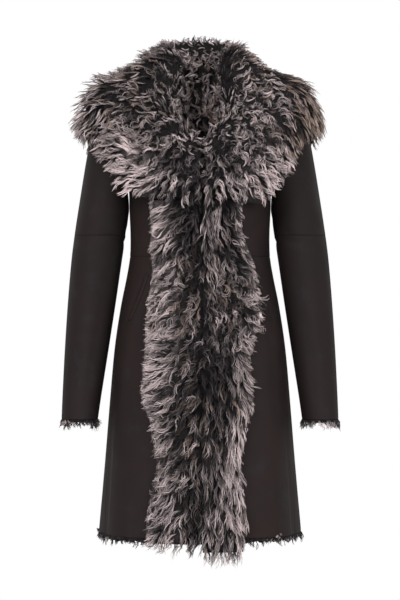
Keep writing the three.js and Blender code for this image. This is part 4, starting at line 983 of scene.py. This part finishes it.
# Front edging
# Two strips of the same long lambswool laid down the front edges, from the collar to below the hem. The wool
# is longest in the middle of a strip, rounds over at the closure and lies flat at the outer edge.
FRONT_FUR_COLUMNS = ("height", "left", "right")
FRONT_FUR_ROWS = [  # how far each strip reaches sideways from the coat's middle
    (-980, 82, 98),
    (-932, 86, 104),
    (-894, 91, 103),
    (-855, 87, 97),
    (-816, 83, 89),
    (-778, 81, 84),
    (-739, 87, 93),
    (-700, 95, 98),
    (-661, 103, 113),
    (-623, 100, 112),
    (-584, 97, 108),
    (-545, 104, 106),
    (-507, 117, 105),
    (-468, 116, 101),
    (-429, 112, 94),
    (-391, 103, 92),
    (-362, 91, 97),
    (-333, 82, 94),
    (-256, 84, 100),
]
FRONT_FUR = {"top_rise": 656.0, "length": 29.0, "bottom": {"left": -969.0, "right": -953.0}}
STRIP_COMB = {  # by the place across, from the closure (0) to the outer edge (1), and by height
    "right": [
        (0.9, -290, 0.90, 0.45, 40, 12, 1.6, 0.8, 12, 0.90, 0.0),
        (0.65, -290, 0.75, 0.60, 42, 16, 2.4, 1.0, 22, 0.92, 0.0),
        (0.3, -300, 0.60, 0.75, 40, 20, 3.4, 1.2, 40, 0.16, 0.0),
        (0.1, -290, 0.20, 0.95, 36, 24, 4.0, 1.1, 50, 0.08, 0.0),
        (0.9, -380, 0.95, 0.25, 44, 12, 1.8, 0.8, 13, 0.94, 0.0),
        (0.55, -370, 0.70, 0.60, 42, 18, 3.0, 1.1, 28, 0.80, 0.05),
        (0.1, -380, 0.20, 0.90, 38, 26, 4.0, 1.1, 50, 0.12, 0.2),
        (0.2, -440, 0.30, 0.90, 38, 26, 4.8, 1.3, 60, 0.44, 0.45),
        (0.55, -450, 0.70, 0.60, 40, 22, 5.0, 1.3, 50, 0.82, 0.1),
        (0.9, -460, 0.95, 0.35, 44, 12, 2.0, 0.9, 15, 0.90, 0.0),
        (0.9, -560, 1.0, 0.10, 50, 12, 2.0, 0.9, 14, 0.92, 0.0),
        (0.5, -560, 0.95, 0.30, 52, 16, 3.8, 1.2, 28, 0.88, 0.0),
        (0.15, -560, 0.60, 0.80, 42, 22, 4.0, 1.2, 44, 0.30, 0.2),
        (0.9, -660, 1.0, 0.05, 54, 12, 2.2, 1.0, 16, 0.90, 0.0),
        (0.5, -660, 0.98, 0.20, 56, 16, 3.8, 1.2, 26, 0.68, 0.0),
        (0.15, -660, 0.50, 0.85, 44, 22, 4.0, 1.2, 40, 0.26, 0.3),
        (0.85, -760, 0.90, 0.45, 50, 14, 3.6, 1.1, 28, 0.76, 0.0),
        (0.4, -760, 0.75, 0.65, 50, 18, 4.4, 1.2, 34, 0.50, 0.1),
        (0.7, -850, 0.70, 0.70, 54, 16, 5.0, 1.2, 36, 0.72, 0.0),
        (0.15, -850, 0.15, 1.0, 44, 22, 4.0, 1.1, 34, 0.20, 0.1),
        (0.8, -920, 0.75, 0.65, 44, 16, 4.4, 1.2, 36, 0.78, 0.0),
        (0.4, -930, 0.25, 1.0, 40, 16, 4.2, 1.2, 40, 0.64, 0.0),
    ],
    "left": [
        (0.9, -290, 0.70, 0.70, 42, 12, 1.6, 0.8, 12, 0.86, 0.0),
        (0.55, -290, 0.35, 1.0, 38, 22, 3.6, 1.1, 40, 0.12, 0.0),
        (0.2, -290, 0.05, 1.0, 46, 18, 2.0, 0.9, 20, 0.50, 0.0),
        (0.9, -370, 0.80, 0.55, 44, 12, 1.8, 0.8, 13, 0.86, 0.0),
        (0.5, -370, 0.30, 1.0, 40, 22, 3.8, 1.2, 40, 0.28, 0.1),
        (0.2, -370, 0.10, 1.0, 44, 20, 2.6, 1.0, 26, 0.56, 0.1),
        (0.9, -440, 0.80, 0.60, 42, 13, 2.2, 0.9, 18, 0.82, 0.0),
        (0.3, -440, 0.25, 0.95, 38, 24, 5.0, 1.4, 60, 0.40, 0.4),
        (0.65, -490, 0.50, 0.85, 38, 22, 5.4, 1.4, 70, 0.56, 0.0),
        (0.3, -560, 0.20, 1.0, 40, 24, 4.6, 1.3, 50, 0.16, 0.1),
        (0.9, -560, 0.75, 0.65, 46, 12, 2.0, 0.9, 16, 0.84, 0.0),
        (0.3, -640, 0.05, 1.0, 46, 20, 3.2, 1.1, 30, 0.06, 0.3),
        (0.65, -640, 0.30, 1.0, 48, 16, 3.0, 1.1, 24, 0.46, 0.1),
        (0.95, -640, 0.70, 0.70, 50, 12, 2.0, 0.9, 16, 0.86, 0.0),
        (0.7, -730, 0.20, 1.0, 58, 12, 2.2, 1.1, 16, 0.82, 0.0),
        (0.2, -730, 0.0, 1.0, 50, 18, 3.0, 1.1, 24, 0.30, 0.3),
        (0.5, -820, 0.05, 1.0, 60, 12, 2.8, 1.3, 16, 0.70, 0.0),
        (0.95, -820, 0.15, 1.0, 56, 10, 1.8, 0.9, 12, 0.86, 0.0),
        (0.05, -820, 0.0, 1.0, 54, 16, 2.8, 1.2, 20, 0.42, 0.1),
        (0.5, -920, 0.05, 1.0, 46, 12, 2.8, 1.1, 20, 0.66, 0.0),
    ],
}
STRIP_LOCKS = {
    "locks": 950, "strands": 4, "spread": 2.8, "gather": 0.2, "frizz": 0.7, "thickness": 0.86, "droop": 0.2,
    "roots": (0.92, 0.985), "thin_from": 60, "evenness": 0.9, "past_end": 20, "past_side": 0, "tufts": 260,
    "joined_end": False, "coat_short": 2, "front_share": 1.0, "front_ends": 0, "top_share": 1.0,
    "coat_depth": UNDERCOAT_DEPTH,
}


def strip_surfaces(side_name):
    """A strip's backing on the front panels and the reach of its wool: length (1 - 0.22 (1-a)^6 - 0.8 a^4). Rows
    run from the closure to the outer edge and columns from the top to the bottom."""
    side = SIDES[side_name]
    bottom = FRONT_FUR["bottom"][side_name] - HEM_HEIGHT
    rise = np.linspace(FRONT_FUR["top_rise"], bottom, 100)[None, :]
    across = np.linspace(0, 1, 16)[:, None]
    reach = read_rows(FRONT_FUR_COLUMNS, FRONT_FUR_ROWS, rise + HEM_HEIGHT)[side_name]
    first, last = front_edge(side, rise), angle_at_x(reach, rise)
    angle, rise = np.broadcast_arrays(first + (last - first) * across, rise)
    length = FRONT_FUR["length"] * (1 - 0.22 * (1 - across) ** 6 - 0.8 * across**4)
    return body_row(side, angle, rise, 0 * angle + SEAM_GAP), body_row(side, angle, rise, 0 * angle + SEAM_GAP + length)


for number, (side_name, side) in enumerate(SIDES.items()):
    skin, wool = strip_surfaces(side_name)
    across, height = np.linspace(0, 1, 16), skin[0, :, 2]
    name = f"front_fur_{side_name}"
    plan = STRIP_LOCKS | {"partings": PAINTED_PARTING_SHADE[side_name]}
    pieces = wool_on(name, skin, wool, STRIP_COMB[side_name], across, height, (0.3, 110.0), plan, 31 + number)
    for piece in pieces:
        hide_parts(name)

# Neck lining
# The coat's own wool inside the back of the neck, left long where the open collar shows it.
# The lining's shades are set pale. This is partly its own frosted colour and partly painted light, which lifts it where
# it lies in the collar's shade.
NECK_COMB = [  # by the turn from the centre back towards the left and by height, as for the collar
    (-60, 0, 0.0, 1.0, 30, 34, 4.0, 1.2, 110, 0.74, 0.1),
    (0, 0, 0.0, 1.0, 31, 34, 4.0, 1.2, 110, 0.74, 0.1),
    (60, 0, 0.0, 1.0, 30, 34, 4.0, 1.2, 110, 0.70, 0.1),
    (-40, -80, 0.3, 1.0, 30, 32, 4.0, 1.2, 100, 0.86, 0.1),
    (10, -80, 0.0, 1.0, 30, 32, 4.0, 1.2, 100, 0.84, 0.15),
    (50, -80, -0.3, 1.0, 30, 32, 4.0, 1.2, 100, 0.76, 0.1),
    (0, -150, 0.0, 1.0, 32, 30, 4.0, 1.2, 100, 0.72, 0.0),
]
NECK_LOCKS = {
    "locks": 390, "strands": 4, "spread": 2.6, "gather": 0.3, "frizz": 0.9, "thickness": 0.95, "droop": 0.5,
    "roots": (1.0, 0.97), "thin_from": 6, "evenness": 0.8, "past_end": 20, "past_side": None, "tufts": 120,
    "joined_end": False, "coat_short": 0, "front_share": 1.0, "front_ends": 0, "top_share": 1.0,
    "coat_depth": UNDERCOAT_DEPTH, "partings": 0.0,
}
turned = np.radians(np.linspace(-62, 62, 40))[:, None]
rise = np.linspace(NECK - 4, 800, 24)[None, :]
angle, rise = np.broadcast_arrays(np.pi / 2 - np.abs(turned), rise)
lining = body_point(angle, rise) - body_outward(angle, rise) * (SKIN + SEAM_GAP)
inward = body_point(angle, rise) - body_outward(angle, rise) * (SKIN + 22)
for grid in (lining, inward):
    grid[..., 0] = np.where(turned < 0, -1, 1) * grid[..., 0]
degrees, height = np.linspace(-62, 62, 40), lining[20, :, 2]
wool_on("neck_lining", lining[::-1], inward[::-1], NECK_COMB, degrees[::-1], height, (30.0, 60.0), NECK_LOCKS, 51)

# Pocket welts
# A narrow welt of the leather sewn over each slanted pocket mouth, its outer edge standing a little proud.
POCKET = {"top": (97, -396), "bottom": (139, -508), "width": 7.0, "thickness": 1.6, "bow": 3.0}
POCKET_START = {"left": 0.63, "right": 0.2}  # the long wool covers the line's start
POCKET_SLIT_SHADE = {"from": 1.02, "to": 1.6, "thickness": 0.3}  # a thin strip of the dark undercoat beside the welt's outer edge: painted shadow of the slit where it stands off, in the colour of the wool inside the pocket


def pocket_strip(side_name, across, roll):
    """A strip along the pocket line, across in half widths of the welt: its place on the skirt, raised by roll."""
    side = SIDES[side_name]
    share = np.linspace(POCKET_START[side_name], 1, 30)[None, :]
    (top_x, top), (bottom_x, bottom) = POCKET["top"], POCKET["bottom"]
    rise = top + (bottom - top) * share - HEM_HEIGHT
    middle = top_x + (bottom_x - top_x) * share - POCKET["bow"] * np.sin(np.pi * share)
    tapered = 1 + (across - 1) * np.sin(np.pi * np.clip(share * 1.1 - 0.1, 0, 1)) ** 0.3 if across.min() > 1 else across
    angle, rise = np.broadcast_arrays(angle_at_x(middle + tapered * POCKET["width"] / 2, rise), rise)
    pressed = creased(CREASES, side, angle, rise, MIDDLE_RADIUS)
    return body_row(side, angle, rise, SEAM_GAP + pressed + roll), body_row(side, angle, rise, pressed + 0.1)


for side_name in SIDES:
    across = np.linspace(-1, 1, 9)[:, None]
    roll = POCKET["thickness"] - 1.1 * np.abs(across) ** 4 - 0.5 * np.exp(-(((np.abs(across) - 0.55) / 0.12) ** 2))
    welt = wall_piece(f"pocket_welt_{side_name}_leather", *pocket_strip(side_name, across, roll), [leather])
    # Painted shadow: a flat dark strip on the skirt stands for the shaded slit at the pocket's mouth, coloured like the
    # wool inside.
    slit = np.linspace(POCKET_SLIT_SHADE["from"], POCKET_SLIT_SHADE["to"], 3)[:, None]
    slit = pocket_strip(side_name, slit, POCKET_SLIT_SHADE["thickness"] - SEAM_GAP)
    mouth = wall_piece(f"pocket_welt_{side_name}_mouth", *slit, [undercoat])
    for piece in (welt, mouth):
        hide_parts(f"pocket_welt_{side_name}")

# Hem and cuff wool
# The clipped wool of the skin where it shows below the leather's raw edge, in short curls with pale tips.
EDGE_COMB = {"leaving": 30.0, "lift": 8.0, "curl": 3.2, "turns": 1.1, "stray": 60.0, "room": 60.0, "brown": 0.1}
EDGE_LOCKS = {"spread": 1.8, "gather": 0.2, "frizz": 1.1, "thickness": 0.8, "droop": 0.1}
HEM_WOOL = {"band": 7.5, "spacing": 2.3, "strands": 3, "length": 16.0, "dark": 0.05, "pale": 0.22}
CUFF_WOOL = {"band": 5.5, "spacing": 1.7, "strands": 3, "length": 18.0, "dark": 0.12, "pale": 0.70}


def edge_wool(name, place, way, plan, around, seed):
    """Short wool below an edge, from its places and the wall's outward ways: a band, and locks that hang from it."""
    down = np.array([0, 0, -1.0])
    step = np.arange(len(place))[:, None]
    depth = plan["band"] * (1 + 0.2 * np.sin(step * 1.9 + seed) + 0.15 * np.sin(step * 0.83))
    band_outer = np.stack([place - way * 0.6 + down * drop for drop in (SEAM_GAP, depth)], axis=0)
    band_inner = np.stack([place - way * (SKIN - 0.6) + down * drop for drop in (SEAM_GAP, depth)], axis=0)
    band = wall_piece(f"{name}_band", band_outer, band_inner, [undercoat], around)
    rng = np.random.default_rng(seed)
    distance = np.concatenate([[0], np.cumsum(np.linalg.norm(np.diff(place, axis=0), axis=-1))])
    locks = int(distance[-1] / plan["spacing"])
    far = (np.arange(locks) + rng.uniform(0.1, 0.9, locks)) / locks * distance[-1]
    at = np.interp(far, distance, np.arange(len(place)))
    out = unit(smooth_along(np.arange(len(place)), way, at))
    root = smooth_along(np.arange(len(place)), place, at) - out * rng.uniform(0.8, SKIN - 0.8, (locks, 1)) + down * 0.5
    comb = {key: np.full(locks, value) for key, value in (EDGE_COMB | EDGE_LOCKS).items()}
    comb["length"] = plan["length"] * (1 + 0.25 * np.sin(0.11 * far + seed))
    comb["pale"] = plan["dark"] + (plan["pale"] - plan["dark"]) * np.clip(np.sin(0.07 * far + 2 * seed), 0, 1)
    comb["tuft"] = np.arange(locks) // 4
    points = grow_locks(root, out, np.broadcast_to(down, out.shape), comb, plan["strands"], seed)
    hanging = strand_piece(f"{name}_locks", points, strand_shades(comb, plan["strands"], rng), lambswool)
    for piece in (band, hanging):
        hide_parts(name)


for number, (side_name, side) in enumerate(SIDES.items()):
    fur_edge = angle_at_x(read_rows(FRONT_FUR_COLUMNS, FRONT_FUR_ROWS, HEM_HEIGHT)[side_name], 0.0)
    angle = np.linspace(fur_edge - 0.02, back_edge(0.0), 120)
    pressed = creased(CREASES, side, angle, 0.0, MIDDLE_RADIUS)
    place, way = body_row(side, angle, 0.0, pressed), body_outward(angle, 0.0) * (side, 1, 1)
    edge_wool(f"hem_wool_{side_name}", place, way, HEM_WOOL, False, 61 + number)
    turn = np.linspace(0, 2 * np.pi, 61)[:-1]
    place = sleeve_point(turn, 2.0) * (side, 1, 1)
    way = unit(outward(sleeve_point, turn, np.full(60, 1.99), (0.01, 0.01)) * (side, 1, 0))
    edge_wool(f"cuff_wool_{side_name}", place, way, CUFF_WOOL, True, 71 + number)

# Stage
# A pale floor under the hem, soft studio light, and the camera at the height of the coat's middle.
CAMERA = {"distance": 4.5, "height": -0.468, "frame_height": 1.2, "sensor": 36.0}
FLOOR = {"height": -1.42, "half_width": 2.3}
corners = np.array([(-1, -1, 0), (1, -1, 0), (1, 1, 0), (-1, 1, 0)], float) * FLOOR["half_width"]
corners[:, 2] = FLOOR["height"]
floor_mesh = bpy.data.meshes.new("floor")
floor_mesh.from_pydata(corners.tolist(), [], [(0, 1, 2, 3)])
floor_finish = Finish("pale floor", Roughness=0.7, Base_Color=(0.82, 0.82, 0.82, 1))
floor_mesh.materials.append(floor_finish.material)
floor = bpy.data.objects.new("floor", floor_mesh)
bpy.context.collection.objects.link(floor)

camera_data = bpy.data.cameras.new("camera")
camera_data.sensor_width = CAMERA["sensor"]
camera_data.lens = CAMERA["sensor"] * CAMERA["distance"] / CAMERA["frame_height"]
camera = bpy.data.objects.new("camera", camera_data)
camera.location = (0, -CAMERA["distance"], CAMERA["height"])
camera.rotation_euler = (np.pi / 2, 0, 0)
bpy.context.collection.objects.link(camera)
bpy.context.scene.camera = camera

LIGHTS = {  # where each soft light stands, its size and its power
    "key": {"at": (-1.5, -3.2, 1.3), "size": 1.8, "watts": 105},
    "fill": {"at": (1.9, -3.0, 0.5), "size": 1.8, "watts": 70},
    "rim_left": {"at": (-2.4, 1.6, 0.6), "size": 1.4, "watts": 14},
    "rim_right": {"at": (2.4, 1.6, 0.6), "size": 1.4, "watts": 14},
}
for light_name, light in LIGHTS.items():
    light_data = bpy.data.lights.new(light_name, "AREA")
    light_data.energy, light_data.size = light["watts"], light["size"]
    lamp = bpy.data.objects.new(light_name, light_data)
    lamp.location = light["at"]
    aim = lamp.location.copy()
    aim.z += 0.4
    lamp.rotation_euler = aim.to_track_quat("Z", "Y").to_euler()
    bpy.context.collection.objects.link(lamp)

world = bpy.data.worlds.new("studio")
world.use_nodes = True
bpy.context.scene.world = world
ambient = world.node_tree.nodes["Background"]
ambient.inputs["Color"].default_value = (1, 1, 1, 1)
ambient.inputs["Strength"].default_value = 0.55
backdrop = world.node_tree.nodes.new("ShaderNodeBackground")
backdrop.inputs["Color"].default_value = (1, 1, 1, 1)
rays = world.node_tree.nodes.new("ShaderNodeLightPath")
choice = world.node_tree.nodes.new("ShaderNodeMixShader")
links = world.node_tree.links
links.new(rays.outputs["Is Camera Ray"], choice.inputs["Fac"])
links.new(ambient.outputs["Background"], choice.inputs[1])
links.new(backdrop.outputs["Background"], choice.inputs[2])
links.new(choice.outputs["Shader"], world.node_tree.nodes["World Output"].inputs["Surface"])
bpy.context.scene.view_settings.view_transform = "Standard"
